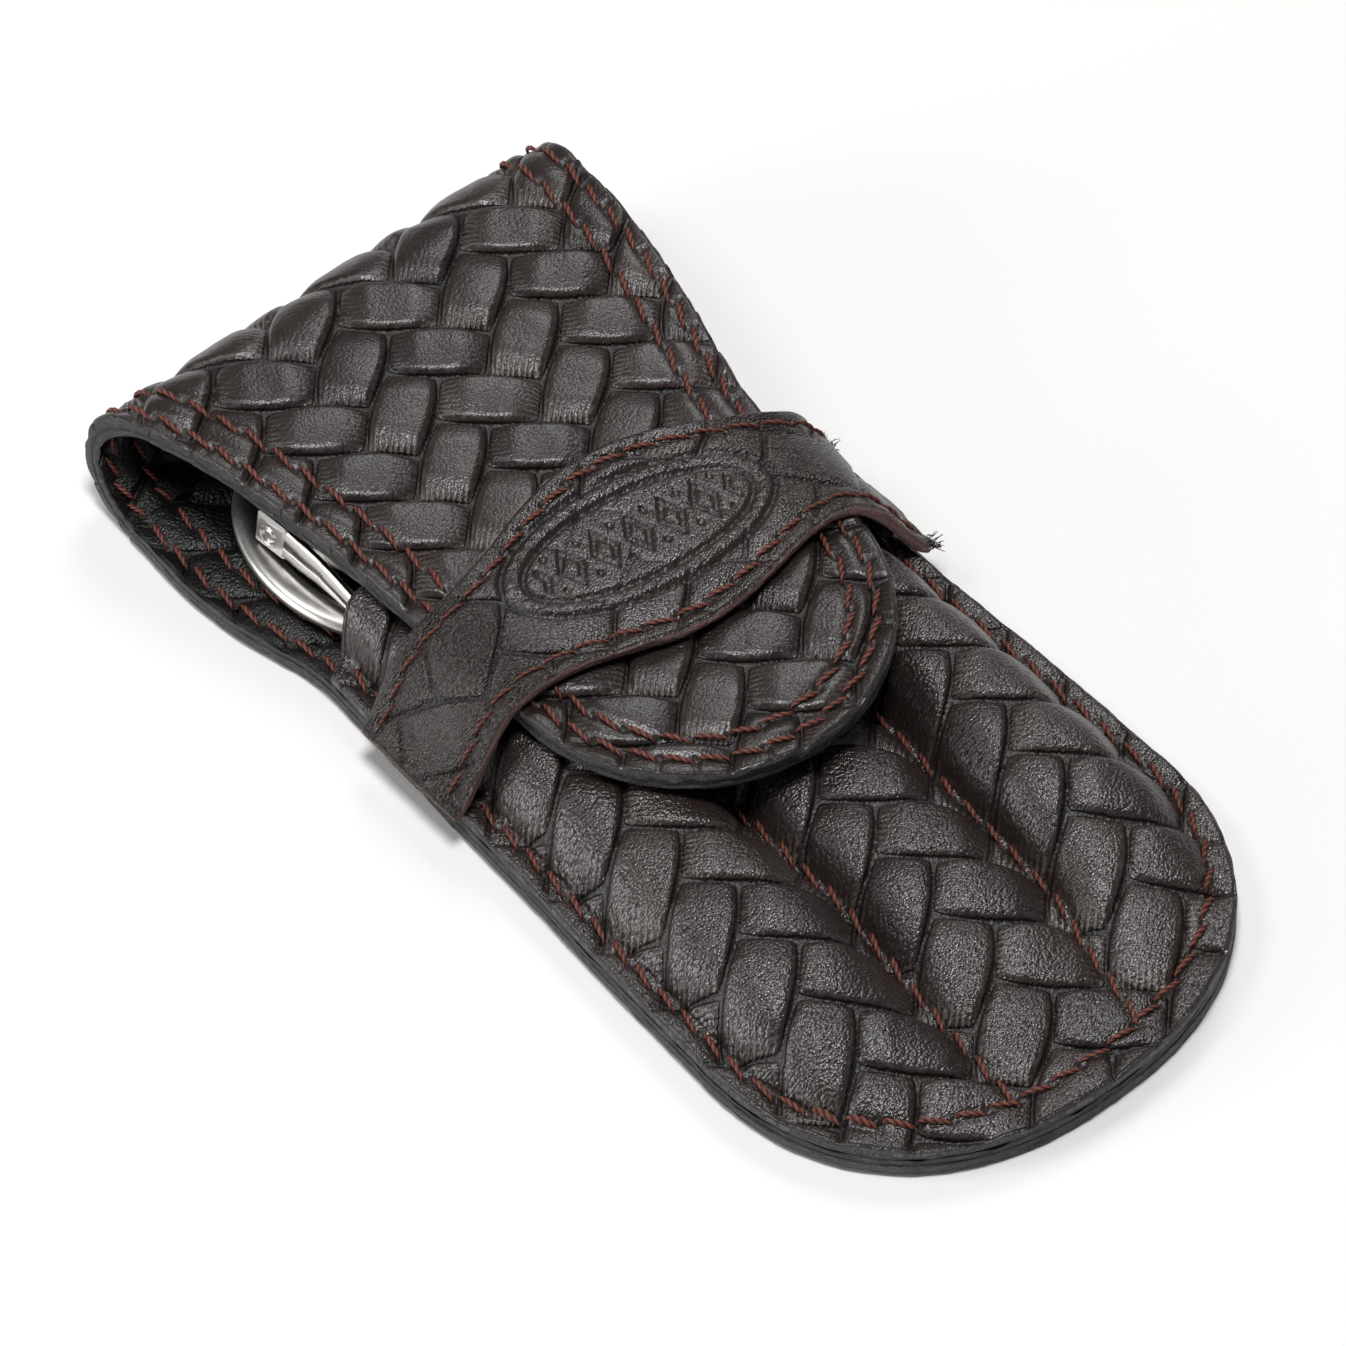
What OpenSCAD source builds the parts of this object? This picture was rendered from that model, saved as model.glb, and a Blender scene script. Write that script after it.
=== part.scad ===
// Flapped pocket case in woven-look leather with three slim steel grooming tools.
// Frame in mm: +X right seen from the front, +Y along the case towards the fold,
// +Z up through the front face; the back panel rests on Z = 0.

/* [Case] */
// Y of the rounded bottom end, measured from the middle of the case
bottom_y = 59.3; // [50:0.5:70]
// half width at the widest place of the rounded end
half_w = 28.4; // [20:0.1:36]
// Y of that widest place, below the middle
wide_y = 34.3; // [20:0.1:45]
// roundness of the bottom end: 2 is an ellipse, more is squarer
end_power = 2.28; // [1.8:0.02:4]
// thickness of the woven-look outer leather
outer_t = 1.5; // [0.8:0.1:2.5]
// thickness of the lining
lining_t = 1.0; // [0.5:0.1:1.5]
// Y of the centre of the fold
fold_y = 52.1; // [45:0.5:60]
// outer radius of the fold
fold_r = 6.6; // [5:0.1:9]

/* [Pocket] */
// Y of the pocket's open mouth
mouth_y = 20; // [10:0.5:30]
// thickness of the pocket front where it is moulded over the tools
pocket_t = 1.2; // [0.8:0.1:2]
// thickness of its flat rim
rim_t = 1.5; // [0.8:0.1:2]
// inside height of the two side channels above the lining
side_h = 6.7; // [3:0.1:8]
// inside height of the middle channel
middle_h = 5.0; // [3:0.1:8]

/* [Strap] */
// lower edge of the strap at its middle
strap_low = -1.7; // [-10:0.1:10]
// upper edge of the strap at its middle
strap_high = 24.2; // [15:0.1:32]
// underside of the strap over the tongue
strap_z = 13.6; // [12:0.1:15]
// leather thickness of the strap
strap_t = 1.5; // [0.8:0.1:2.5]
// reach of the strap's cut ends from the middle
strap_reach = 28.6; // [26:0.1:31]

/* [Flap] */
// radius of the tongue's rounded end
tongue_r = 19.5; // [12:0.1:24]
// Y of the centre of that end
tongue_y = 2.5; // [-5:0.5:10]
// distance between the flap's three bending lines
link = 11; // [8:0.5:14]
// half length of leather that bends at each of them
bend_half = 2.4; // [1.5:0.1:3]

/* [Stitching] */
// spacing of the stitches
pitch = 3.4; // [2:0.1:5]
// radius of the thread
thread_r = 0.3; // [0.15:0.05:0.5]
// height of a stitch pulled down into the leather
thread_h = 0.24; // [0.1:0.02:0.5]

/* [Tools] */
// thickness of the scissors' finger rings
ring_t = 2.2; // [1.5:0.1:3.5]
// half width and half length of each ring
ring_a = 11.3; // [8:0.1:13]
ring_b = 14.5; // [11:0.1:17]
// X of the scissors' middle line
scissors_x = 1.6; // [-3:0.1:4]
// Y of the scissors' screw
screw_y = -8; // [-20:0.5:5]
// X and Z of the tweezers' middle line
tweezer_x = -19; // [-21:0.1:-15]
tweezer_z = 7.45; // [6:0.05:8]
// lean of the tweezers about their length
tweezer_lean = 75; // [0:1:90]
// X of the file's middle line
file_x = 17.8; // [15:0.1:20]

/* [Hidden] */
$fn = 48;

skin = outer_t + lining_t;        // back leather and its lining
fold_z = fold_r;                  // height of the fold's centre
flap_top = 2 * fold_r;            // top of the flap
flap_low = flap_top - skin;       // underside of the flap
hinge_root = fold_y - bend_half;
hinge_knee = hinge_root - link;
hinge_tongue = hinge_knee - link;
leather = [0.10, 0.09, 0.085];
suede = [0.32, 0.17, 0.13];
thread_c = [0.55, 0.27, 0.20];
steel = [0.78, 0.77, 0.75];

// ---------- outlines ----------
// superellipse point
function se(a, b, n, t) = [
  a * sign(cos(t)) * pow(abs(cos(t)), 2 / n), b * sign(sin(t)) * pow(abs(sin(t)), 2 / n)];
// half width of the case above the rounded end
side_pts = [[half_w, -wide_y], [27.9, -22], [27.5, -10], [27.1, 6], [26.9, 18], [27.2, 25],
  [27.9, 32], [28.4, 40], [28.6, fold_y], [28.6, 66]];
function flip(p) = [-p[0], p[1]];
module case_outline(d = 0) {
  end = [for (k = [0:15]) let (q = se(half_w - d, bottom_y - wide_y - d, end_power, -6 * k))
    [q[0], q[1] - wide_y]];
  end_l = [for (k = [14:-1:0]) flip(end[k])];
  up = [for (k = [len(side_pts) - 1:-1:1]) [side_pts[k][0] - d, side_pts[k][1]]];
  up_l = [for (k = [1:len(side_pts) - 1]) [d - side_pts[k][0], side_pts[k][1]]];
  polygon(concat(end, end_l, up_l, up));
}
// flap seen from the front, from the fold down to the tongue's tip
flap_left = [[-28.4, 66], [-28.4, 56], [-26.4, 50], [-24.2, 40], [-22.3, 30], [-21.0, 22], [-20.2, 14]];
flap_right = [[20.6, 12], [22.3, 17], [23.8, 24], [25.4, 31], [27.2, 40], [28.4, 49], [28.6, 56], [28.6, 66]];
module flap_outline(d = 0) {
  left = [for (p = flap_left) [p[0] + d, p[1]]];
  right = [for (p = flap_right) [p[0] - d, p[1]]];
  tip = [for (a = [180:6:360]) [(tongue_r - d) * cos(a), tongue_y + (tongue_r - d) * sin(a)]];
  polygon(concat(left, tip, right));
}
module flap_slice(y0, y1, z0, z1, d = 0) {
  translate([0, 0, z0]) linear_extrude(z1 - z0) intersection() {
    flap_outline(d);
    translate([-35, y0]) square([70, y1 - y0]);
  }
}

// ---------- stitches ----------
// one stitch lying on a surface of height z, from point a to point b
module stitch(a, b, z) {
  v = b - a;
  l = norm(v);
  n = l * 0.76;
  translate([a[0], a[1], z + 0.02]) rotate([0, 0, atan2(v[1], v[0])]) translate([l * 0.12, 0, 0])
    linear_extrude(thread_h) polygon([[0, 0], [0.25, -thread_r], [n - 0.25, -thread_r], [n, 0],
      [n - 0.25, thread_r], [0.25, thread_r]]);
}
// stitches along a line of points, one stitch per pair
module row(pts, z) {
  for (k = [0:len(pts) - 2]) stitch(pts[k], pts[k + 1], z);
}
// equal steps between two points
function steps(a, b) = let (n = max(1, round(norm(b - a) / pitch)))
  [for (k = [0:n]) a + (b - a) * k / n];
// X of the seam round the case at height y of the straight sides
seam_in = 1.9;
function side_x(y) = lookup(y, [for (p = side_pts) [p[1], p[0]]]) - seam_in;

// ---------- case ----------
module back_panel() {
  color(leather) linear_extrude(outer_t) intersection() {
    case_outline();
    translate([-40, -70]) square([80, 70 + fold_y]);
  }
}
module back_lining() {
  color(leather) translate([0, 0, outer_t]) linear_extrude(lining_t) intersection() {
    case_outline(0.4);
    translate([-40, -70]) square([80, 70 + fold_y]);
  }
}

// channels: centre X, inside half width, inside height, Y of the closed end
channels = [[-17.0, 6.3, side_h, -48], [1.6, 6.2, middle_h, -43.5], [17.8, 5.5, side_h, -48]];
edge_in = 2.6; // how far the moulded part stays inside the case's edge
// faceted ridge along Y with a sloping closed end, kept inside the seam round the edge
module lobe(c, grow) {
  a = c[1] + grow;
  h = c[2] + grow;
  intersection() {
    translate([c[0], mouth_y + 10, skin]) rotate([90, 0, 0]) linear_extrude(90)
      polygon([[-a, 0], [-a, h * 0.62], [-a * 0.62, h], [a * 0.62, h], [a, h * 0.62], [a, 0]]);
    translate([c[0] - 20, 0, skin]) rotate([90, 0, 90]) linear_extrude(40)
      polygon([[c[3] - grow, 0], [c[3] + 1.5 - grow, h * 0.7], [c[3] + 9 - grow, h],
        [mouth_y + 10, h], [mouth_y + 10, 0]]);
    translate([0, 0, skin]) linear_extrude(20) case_outline(edge_in + pocket_t - grow);
  }
}
module pocket_front() {
  color(leather) difference() {
    intersection() {
      union() {
        translate([0, 0, skin]) linear_extrude(rim_t) case_outline(0.2);
        for (c = channels) lobe(c, pocket_t);
      }
      translate([-40, -70, skin]) cube([80, 70 + mouth_y, 20]);
    }
    for (c = channels) lobe(c, 0);
  }
}
module rim_thread() {
  n = 24;
  arc = [for (k = [0:n]) let (q = se(half_w - seam_in, bottom_y - wide_y - seam_in, end_power,
    -180 * k / n)) [q[0], q[1] - wide_y]];
  m = floor((mouth_y + wide_y - 21) / pitch);
  color(thread_c) {
    row(arc, skin + rim_t);
    for (s = [-1, 1], k = [0:m - 1]) let (y = -wide_y + k * pitch)
      stitch([s * side_x(y), y], [s * side_x(y + pitch), y + pitch], skin + rim_t);
  }
}
module channel_thread() {
  color(thread_c) {
    row(steps([-7.15, -3], [-7.15, -41]), skin + rim_t);
    row(steps([-7.15, -41], [-9.2, -55.8]), skin + rim_t);
    row(steps([10.05, -3], [10.05, -43]), skin + rim_t);
    row(steps([10.05, -43], [8.2, -48.5]), skin + rim_t);
    row(steps([8.2, -48.5], [5.8, -56]), skin + rim_t);
  }
}

// ---------- strap ----------
strap_in = [[-strap_reach, 4.0], [-26.3, 4.0], [-25.6, 4.6], [-24.7, 7.0], [-23.6, 10.2], [-22.6, 12.2],
  [-21.6, 13.1], [-20.4, strap_z], [22.7, strap_z], [23.7, 13.1], [24.5, 12.0], [25.2, 10.0], [25.7, 7.0],
  [26.0, 4.7], [26.5, 4.0], [strap_reach, 4.0]];
strap_out = [[strap_reach, 5.4], [27.5, 5.5], [27.3, 7.2], [26.9, 10.6], [26.1, 13.0], [24.8, 14.4],
  [23.0, strap_z + strap_t], [-20.8, strap_z + strap_t], [-22.6, 14.4], [-24.0, 13.0], [-25.2, 10.8],
  [-26.3, 7.6], [-27.0, 5.8], [-27.8, 5.4], [-strap_reach, 5.4]];
// strap seen from the front: arched edges, the lower one dipping to the right
function strap_bottom(x) = let (u = abs(x)) strap_low
  + (u < 16 ? 3.2 * (1 - cos(u * 11.25)) / 2 : 3.2 - 7.5 * pow((u - 16) / 13, 1.5))
  - 0.12 * x * (u < 16 ? 1 : max(0, 1 - (u - 16) / 8));
function strap_top(x) = strap_high - 0.0162 * x * x
  - (abs(x) > 20 ? 0.036 * (abs(x) - 20) * (abs(x) - 20) : 0);
module strap_outline() {
  low = [for (x = [-29:2:29]) [x, strap_bottom(x)]];
  high = [for (x = [29:-2:-29]) [x, strap_top(x)]];
  polygon(concat(low, high));
}
module strap() {
  color(suede) intersection() {
    translate([0, 40, 0]) rotate([90, 0, 0]) linear_extrude(80) polygon(concat(strap_in, strap_out));
    linear_extrude(20) strap_outline();
  }
}
module strap_thread() {
  top = strap_z + strap_t;
  low_y = [for (k = [0:11]) let (x = -19.2 + k * 3.5) [x, strap_bottom(x) + 2.4]];
  high_y = [for (k = [0:11]) let (x = -19.2 + k * 3.5) [x, strap_top(x) - 2.4]];
  color(thread_c) { row(low_y, top); row(high_y, top); }
}
// oval embossed ornament: a double rim and a plain leaf pattern
module oval(a, b, h) {
  linear_extrude(h) polygon([for (k = [0:47]) [a * cos(7.5 * k), b * sin(7.5 * k)]]);
}
module strap_emblem() {
  color(leather) translate([2, 11.4, strap_z + strap_t]) rotate([0, 0, -6]) {
    difference() { oval(15, 7.3, 0.25); translate([0, 0, -1]) oval(14.3, 6.6, 3); }
    difference() { oval(13.5, 5.8, 0.25); translate([0, 0, -1]) oval(13, 5.3, 3); }
    for (k = [-3:3]) translate([k * 3, 0, 0]) rotate([0, 0, k % 2 == 0 ? 45 : -45])
      translate([-1.2, -0.5, 0]) cube([2.4, 1.0, 0.25]);
  }
}

// ---------- flap ----------
// part of the fold between two angles, 0 at its outermost place
module fold_part(a0, a1) {
  w = 28.5;
  color(leather) translate([-w, fold_y, fold_z]) rotate([90, 0, 90]) intersection() {
    difference() {
      cylinder(r = fold_r, h = 2 * w, $fn = 96);
      translate([0, 0, -1]) cylinder(r = fold_r - skin, h = 2 * w + 2, $fn = 96);
    }
    linear_extrude(2 * w) polygon([[0, 0], 14 * [cos(a0), sin(a0)],
      20 * [cos((a0 + a1) / 2), sin((a0 + a1) / 2)], 14 * [cos(a1), sin(a1)]]);
  }
}
module fold_lower() fold_part(-90, -30);
module fold_middle() fold_part(-30, 30);
module fold_upper() fold_part(30, 90);
module root_bend() {
  color(leather) flap_slice(hinge_root - bend_half, fold_y, flap_low, flap_top);
}
module knee_bend() {
  color(leather) flap_slice(hinge_knee - bend_half, hinge_knee + bend_half, flap_low, flap_top);
}
module tongue_bend() {
  color(leather) flap_slice(hinge_tongue - bend_half, hinge_tongue + bend_half, flap_low, flap_top);
}
module panel_a_outer() {
  color(leather) flap_slice(hinge_knee + bend_half, hinge_root - bend_half, flap_top - outer_t, flap_top);
}
module panel_a_lining() {
  color(leather) flap_slice(hinge_knee + bend_half, hinge_root - bend_half, flap_low, flap_top - outer_t, 0.3);
}
module panel_b_outer() {
  color(leather) flap_slice(hinge_tongue + bend_half, hinge_knee - bend_half, flap_top - outer_t, flap_top);
}
module panel_b_lining() {
  color(leather) flap_slice(hinge_tongue + bend_half, hinge_knee - bend_half, flap_low, flap_top - outer_t, 0.3);
}
module tongue_outer() {
  color(leather) flap_slice(-30, hinge_tongue - bend_half, flap_top - outer_t, flap_top);
}
module tongue_lining() {
  color(leather) flap_slice(-30, hinge_tongue - bend_half, flap_low, flap_top - outer_t, 0.3);
}
// X of the flap's edges at height y
function left_x(y) = lookup(y, [for (k = [len(flap_left) - 1:-1:0]) [flap_left[k][1], flap_left[k][0]]]);
function right_x(y) = lookup(y, [for (p = flap_right) [p[1], p[0]]]);
rows_in = [3.0, 6.2];
// the four rows of one slice of the flap
module flap_rows(y0, y1) {
  for (d = rows_in) {
    row(steps([left_x(y0) + d, y0], [left_x(y1) + d, y1]), flap_top);
    row(steps([right_x(y0) - d, y0], [right_x(y1) - d, y1]), flap_top);
  }
}
// stitches round the outside of the fold, along its turning surface
module fold_thread() {
  color(thread_c) for (d = rows_in, s = [-1, 1], a = [-8, 22])
    translate([s * (28.4 - d), fold_y, fold_z]) rotate([a, 0, 0])
      translate([0, fold_r + thread_r + 0.05, -1.25]) cylinder(r = thread_r, h = 2.5);
}
module panel_a_thread() {
  color(thread_c) flap_rows(hinge_knee + bend_half + 0.3, hinge_root - bend_half - 0.3);
}
module panel_b_thread() {
  color(thread_c) flap_rows(hinge_tongue + bend_half + 0.3, hinge_knee - bend_half - 0.3);
}
module tongue_thread() {
  color(thread_c) for (d = rows_in) {
    n = round(PI * (tongue_r - d) / pitch);
    row([for (k = [0:n]) [(tongue_r - d) * cos(180 + 180 * k / n),
      tongue_y + (tongue_r - d) * sin(180 + 180 * k / n)]], flap_top);
  }
}

// ---------- scissors ----------
ring_x = 13.9;                    // distance of each ring's centre from the middle line
ring_y = 36;
ring_z = skin + 0.05;
blade_z = [skin + 0.2, skin + 1.95];
blade_t = 1.5;
// closed loop with bevelled section, longer than wide
module finger_ring() {
  r = ring_a - 1.4;
  w = 1.4;
  h = ring_t;
  sec = [[-w, 0.6], [-w + 0.6, 0], [w - 0.6, 0], [w, 0.6], [w, h - 0.6], [w - 0.6, h], [-w + 0.6, h],
    [-w, h - 0.6]];
  s = ring_b - ring_a;
  for (k = [0, 1]) rotate([0, 0, 180 * k]) {
    translate([0, s, 0]) rotate_extrude(angle = 180) translate([r, 0]) polygon(sec);
    translate([r, s, 0]) rotate([90, 0, 0]) linear_extrude(2 * s) polygon(sec);
  }
}
// left ring's own half, seen from the front: shank, then blade beyond the screw
half_pts = [[-9.2, 25.0], [-5.8, 27.5], [-4.0, 24.6], [-2.6, 21.5], [-1.2, 18], [-0.6, 6], [0.6, -2],
  [3.0, -6.5], [3.2, -10], [2.6, -24], [1.3, -34], [0.4, -39.2], [-0.2, -38.5], [-0.6, -26], [-1.6, -13],
  [-3.0, -10.5], [-3.3, -6], [-3.6, 4], [-4.0, 17], [-5.4, 21.0], [-7.4, 23.4]];
module blade(z) {
  difference() {
    translate([scissors_x, 0, z]) linear_extrude(blade_t) polygon(half_pts);
    translate([scissors_x, screw_y, z - 1]) cylinder(r = 1.25, h = 4);
  }
}
module scissor_blade_left() color(steel) difference() {
  blade(blade_z[0]);
  translate([scissors_x - ring_x, ring_y, ring_z]) ring_core();
}
// the ring's own space, kept clear of the shank
module ring_core() {
  translate([0, 0, -1]) linear_extrude(10) union() {
    for (s = [-1, 1]) translate([0, s * (ring_b - ring_a)]) circle(r = ring_a);
    translate([-ring_a, ring_a - ring_b]) square([2 * ring_a, 2 * (ring_b - ring_a)]);
  }
}
module scissor_ring_left() color(steel) translate([scissors_x - ring_x, ring_y, ring_z]) finger_ring();
module mirrored() translate([2 * scissors_x, 0, 0]) mirror([1, 0, 0]) children();
module scissor_blade_right() color(steel) difference() {
  mirrored() blade(blade_z[1]);
  mirrored() translate([scissors_x - ring_x, ring_y, ring_z]) ring_core();
}
module scissor_ring_right() color(steel) mirrored() translate([scissors_x - ring_x, ring_y, ring_z]) {
  finger_ring();
}
module scissor_screw() {
  z1 = blade_z[1] + blade_t + 0.05;
  color(steel) translate([scissors_x, screw_y, 0]) difference() {
    union() {
      translate([0, 0, blade_z[0]]) cylinder(r = 1.2, h = z1 - blade_z[0]);
      translate([0, 0, z1]) cylinder(r = 2.1, h = 0.5);
    }
    translate([-3, -0.3, z1 + 0.25]) cube([6, 0.6, 1]);
  }
}

// ---------- tweezers ----------
// local frame: X across the leaves, Z over their width; leant about their length
module leant() {
  translate([tweezer_x, 0, tweezer_z]) rotate([0, 90 - tweezer_lean, 0]) children();
}
block_y = 35;
block_l = 6;
block_w = 4.4;
block_h = 2.4;
module tweezer_block() {
  color(steel) leant() difference() {
    translate([-block_h / 2, block_y, -block_w / 2]) cube([block_h, block_l, block_w]);
    for (s = [-1, 1]) translate([s * (block_h / 2 + 0.05), block_y + block_l / 2, 0])
      rotate([0, 90, 0]) cylinder(r = 1.3, h = 0.5, center = true);
  }
}
// one leaf: bowed strip in plan, tapering over its width
module leaf() {
  t = 0.75;
  bow = [[0.25, block_y - 0.05], [1.05, 24], [1.25, 8], [1.3, -12], [1.2, -26], [0.9, -36.5]];
  back = [for (k = [len(bow) - 1:-1:0]) [bow[k][0] + t, bow[k][1]]];
  intersection() {
    translate([0, 0, -3]) linear_extrude(6) polygon(concat(bow, back));
    translate([-5, 0, 0]) rotate([90, 0, 90]) linear_extrude(10)
      polygon([[block_y + 1, -1.9], [block_y - 4, -1.9], [22, -1.5], [0, -1.45], [-24, -1.25], [-36.5, -0.75],
        [-36.5, -0.25], [-24, 0.35], [0, 0.65], [22, 1.1], [block_y - 4, 1.9], [block_y + 1, 1.9]]);
  }
}
module tweezer_leaf_near() color(steel) leant() mirror([1, 0, 0]) leaf();
module tweezer_leaf_far() color(steel) leant() leaf();

// ---------- nail file ----------
module file_blade() {
  color(steel) translate([file_x, 0, 5.9]) linear_extrude(1)
    polygon([[-3.2, 12], [-3.2, -30], [-2.2, -36], [0, -40.5], [2.2, -36], [3.2, -30], [3.2, 12]]);
}
module file_handle() {
  color([0.12, 0.12, 0.13]) translate([file_x, 0, 0]) difference() {
    intersection() {
      translate([0, 0, 5.1]) linear_extrude(2.6) union() {
        translate([0, 28]) circle(r = 4);
        translate([-4, 6]) square([8, 22]);
      }
      rotate([90, 0, 0]) linear_extrude(100, center = true)
        polygon([[-4, 6], [-3.2, 5.1], [3.2, 5.1], [4, 6], [4, 6.9], [3.2, 7.7], [-3.2, 7.7], [-4, 6.9]]);
    }
    translate([-3.25, 0, 5.85]) cube([6.5, 12.05, 1.1]);
  }
}

back_panel();
back_lining();
pocket_front();
rim_thread();
channel_thread();
strap();
strap_thread();
strap_emblem();
fold_lower();
fold_middle();
fold_upper();
root_bend();
panel_a_outer();
panel_a_lining();
knee_bend();
panel_b_outer();
panel_b_lining();
tongue_bend();
tongue_outer();
tongue_lining();
fold_thread();
panel_a_thread();
panel_b_thread();
tongue_thread();
scissor_blade_left();
scissor_ring_left();
scissor_blade_right();
scissor_ring_right();
scissor_screw();
tweezer_block();
tweezer_leaf_near();
tweezer_leaf_far();
file_blade();
file_handle();
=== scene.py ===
"""A flapped pocket case in basket-weave leather holding three steel grooming tools.

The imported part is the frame. Everything seen is built here in millimetres and scaled to metres, apart
from five tool parts inside the case that stay the CAD's own meshes.
Leather is laid out flat first: x across, q along the flap from its tongue over the fold to the back,
h above the outer face. The relief of the weave, seams and stitch holes goes into the meshes.
"""
import math

import bmesh
import bpy
import numpy as np
from mathutils import Matrix, Vector


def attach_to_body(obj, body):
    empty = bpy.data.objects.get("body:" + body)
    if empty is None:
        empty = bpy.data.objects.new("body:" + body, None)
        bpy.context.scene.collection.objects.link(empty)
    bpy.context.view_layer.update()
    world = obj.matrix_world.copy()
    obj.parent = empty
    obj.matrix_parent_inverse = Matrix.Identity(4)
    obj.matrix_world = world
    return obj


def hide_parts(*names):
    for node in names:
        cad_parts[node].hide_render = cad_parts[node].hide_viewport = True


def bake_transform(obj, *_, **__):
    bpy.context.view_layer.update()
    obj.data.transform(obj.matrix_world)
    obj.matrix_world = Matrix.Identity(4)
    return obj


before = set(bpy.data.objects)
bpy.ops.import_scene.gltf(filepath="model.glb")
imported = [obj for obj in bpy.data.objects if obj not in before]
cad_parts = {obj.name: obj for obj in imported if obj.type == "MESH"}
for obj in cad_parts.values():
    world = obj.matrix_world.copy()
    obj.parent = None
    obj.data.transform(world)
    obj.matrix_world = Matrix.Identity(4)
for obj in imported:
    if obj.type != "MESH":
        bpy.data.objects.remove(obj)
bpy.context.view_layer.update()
MM = 0.001

# ---------------------------------------------------------------- sizes, in mm
FOLD_Y, FOLD_R = 52.1, 6.6  # axis of the fold, and its outer radius
TOP = 2 * FOLD_R  # height of the closed flap
ARC = math.pi * FOLD_R  # the fold's length over its outer face
OUTER_T, SKIN = 1.5, 2.5  # outer leather, and outer and lining glued together
HALF, WIDE_Y, BOTTOM_Y, POWER = 28.4, 34.3, 59.8, 2.28  # the case's rounded end, a superellipse
MOUTH_Y, MOUTH_RIGHT = 24.3, 20.9  # the pocket's mouth at its left and right ends
RIM_Z = 4.0  # the pocket front's face at its flat rim
TONGUE_R, TONGUE_X, TONGUE_Y = 19.95, 0.6, 2.5
PUFF = 1.65  # how far the closed flap springs up
PITCH, THREAD_R = 3.4, 0.285  # of the hand stitches
COLS = 239  # columns of the large leather grids
EDGE = 0.45  # rounding of a leather edge

# Outlines as (x, y) or (x, q): the case's side, and the flap's left and right sides
SIDE = [
    (28.3, -34.3), (28.1, -24), (27.8, -16), (27.4, -9), (27.1, 0), (27.0, 6), (26.7, 13), (26.3, 19),
    (26.1, 24), (26.5, 28), (27.5, 31.7), (28.5, 35.7), (29.0, 40), (29.2, 44), (28.9, 49), (28.8, 54),
    (28.8, 80),
]
LEFT = [
    (-19.35, 2.5), (-19.7, 12), (-20.0, 20), (-20.3, 26), (-20.9, 31), (-21.9, 36), (-22.8, 41),
    (-23.7, 45.5), (-24.9, 50), (-26.2, 54), (-27.4, 58), (-28.3, 63), (-28.7, 70), (-28.8, 90),
]
RIGHT = [
    (20.55, 2.5), (21.2, 10), (21.9, 16), (22.6, 20.5), (24.0, 25.2), (25.2, 29.6), (26.1, 33.6),
    (26.9, 37.6), (27.5, 41.4), (28.0, 45), (28.4, 50), (28.7, 54), (28.8, 60), (28.8, 90),
]


OUTLINE_STEP, OUTLINE_CORNER = 0.25, 5.0


def outline(points):
    """A smooth function through (value, at) points, its corners rounded off."""
    value, at = np.array(points).T
    grid = np.arange(at[0], at[-1], OUTLINE_STEP)
    k = np.hanning(int(OUTLINE_CORNER / OUTLINE_STEP) | 1)
    raw = np.interp(grid, at, value)
    pad = len(k) // 2
    ends = np.r_[2 * raw[0] - raw[pad:0:-1], raw, 2 * raw[-1] - raw[-2:-pad - 2:-1]]
    smooth = np.convolve(ends, k / k.sum(), "valid")
    return lambda here: np.interp(here, grid, smooth)


side_x, left_x, right_x = outline(SIDE), outline(LEFT), outline(RIGHT)


def ramp(t):
    """Smooth step from 0 to 1."""
    t = np.clip(t, 0, 1)
    return t * t * (3 - 2 * t)


def columns(*parts):
    """Values side by side in the last axis."""
    return np.stack(np.broadcast_arrays(*parts), -1)


def length(v):
    return np.linalg.norm(v, axis=-1)


def turns(start, end, count):
    """Evenly spaced angles from start to end, given in degrees."""
    return np.radians(np.linspace(start, end, count))


def travelled(p):
    """Distance along a polyline to each of its points."""
    return np.r_[0, np.cumsum(length(np.diff(p, axis=0)))]


def oval(t, a, b, power):
    """Points at angles t of an oval, squarer the higher its power."""
    c, s = np.cos(t), np.sin(t)
    return columns(a * np.sign(c) * np.abs(c) ** (2 / power), b * np.sign(s) * np.abs(s) ** (2 / power))


def noise(x, y, size, seed=0.0):
    """Smooth value noise from -1 to 1."""
    u, v = np.asarray(x) / size, np.asarray(y) / size
    i, j = np.floor(u), np.floor(v)
    fu, fv = ramp(u - i), ramp(v - j)

    def corner(a, b):
        s = np.sin(a * 127.1 + b * 311.7 + seed * 74.7) * 43758.5453
        return (s - np.floor(s)) * 2 - 1

    low = corner(i, j) * (1 - fu) + corner(i + 1, j) * fu
    high = corner(i, j + 1) * (1 - fu) + corner(i + 1, j + 1) * fu
    return low * (1 - fv) + high * fv


def dip(distance, depth, width):
    """A round-bottomed groove."""
    return depth * np.exp(-(distance / width) ** 2)


def puff(q):
    """How far the flap springs up between the strap and the fold, in mm."""
    return PUFF * ramp((q - 24) / 22) * (1 - ramp((q - 58) / 14))


# ---------------------------------------------------------------- the weave
BOW_SIDE, BOW_END = 0.34, 0.30  # how far a brick's sides and ends draw in at its corners
BRICK = 5.6  # mean width of a brick, for the shader


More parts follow.
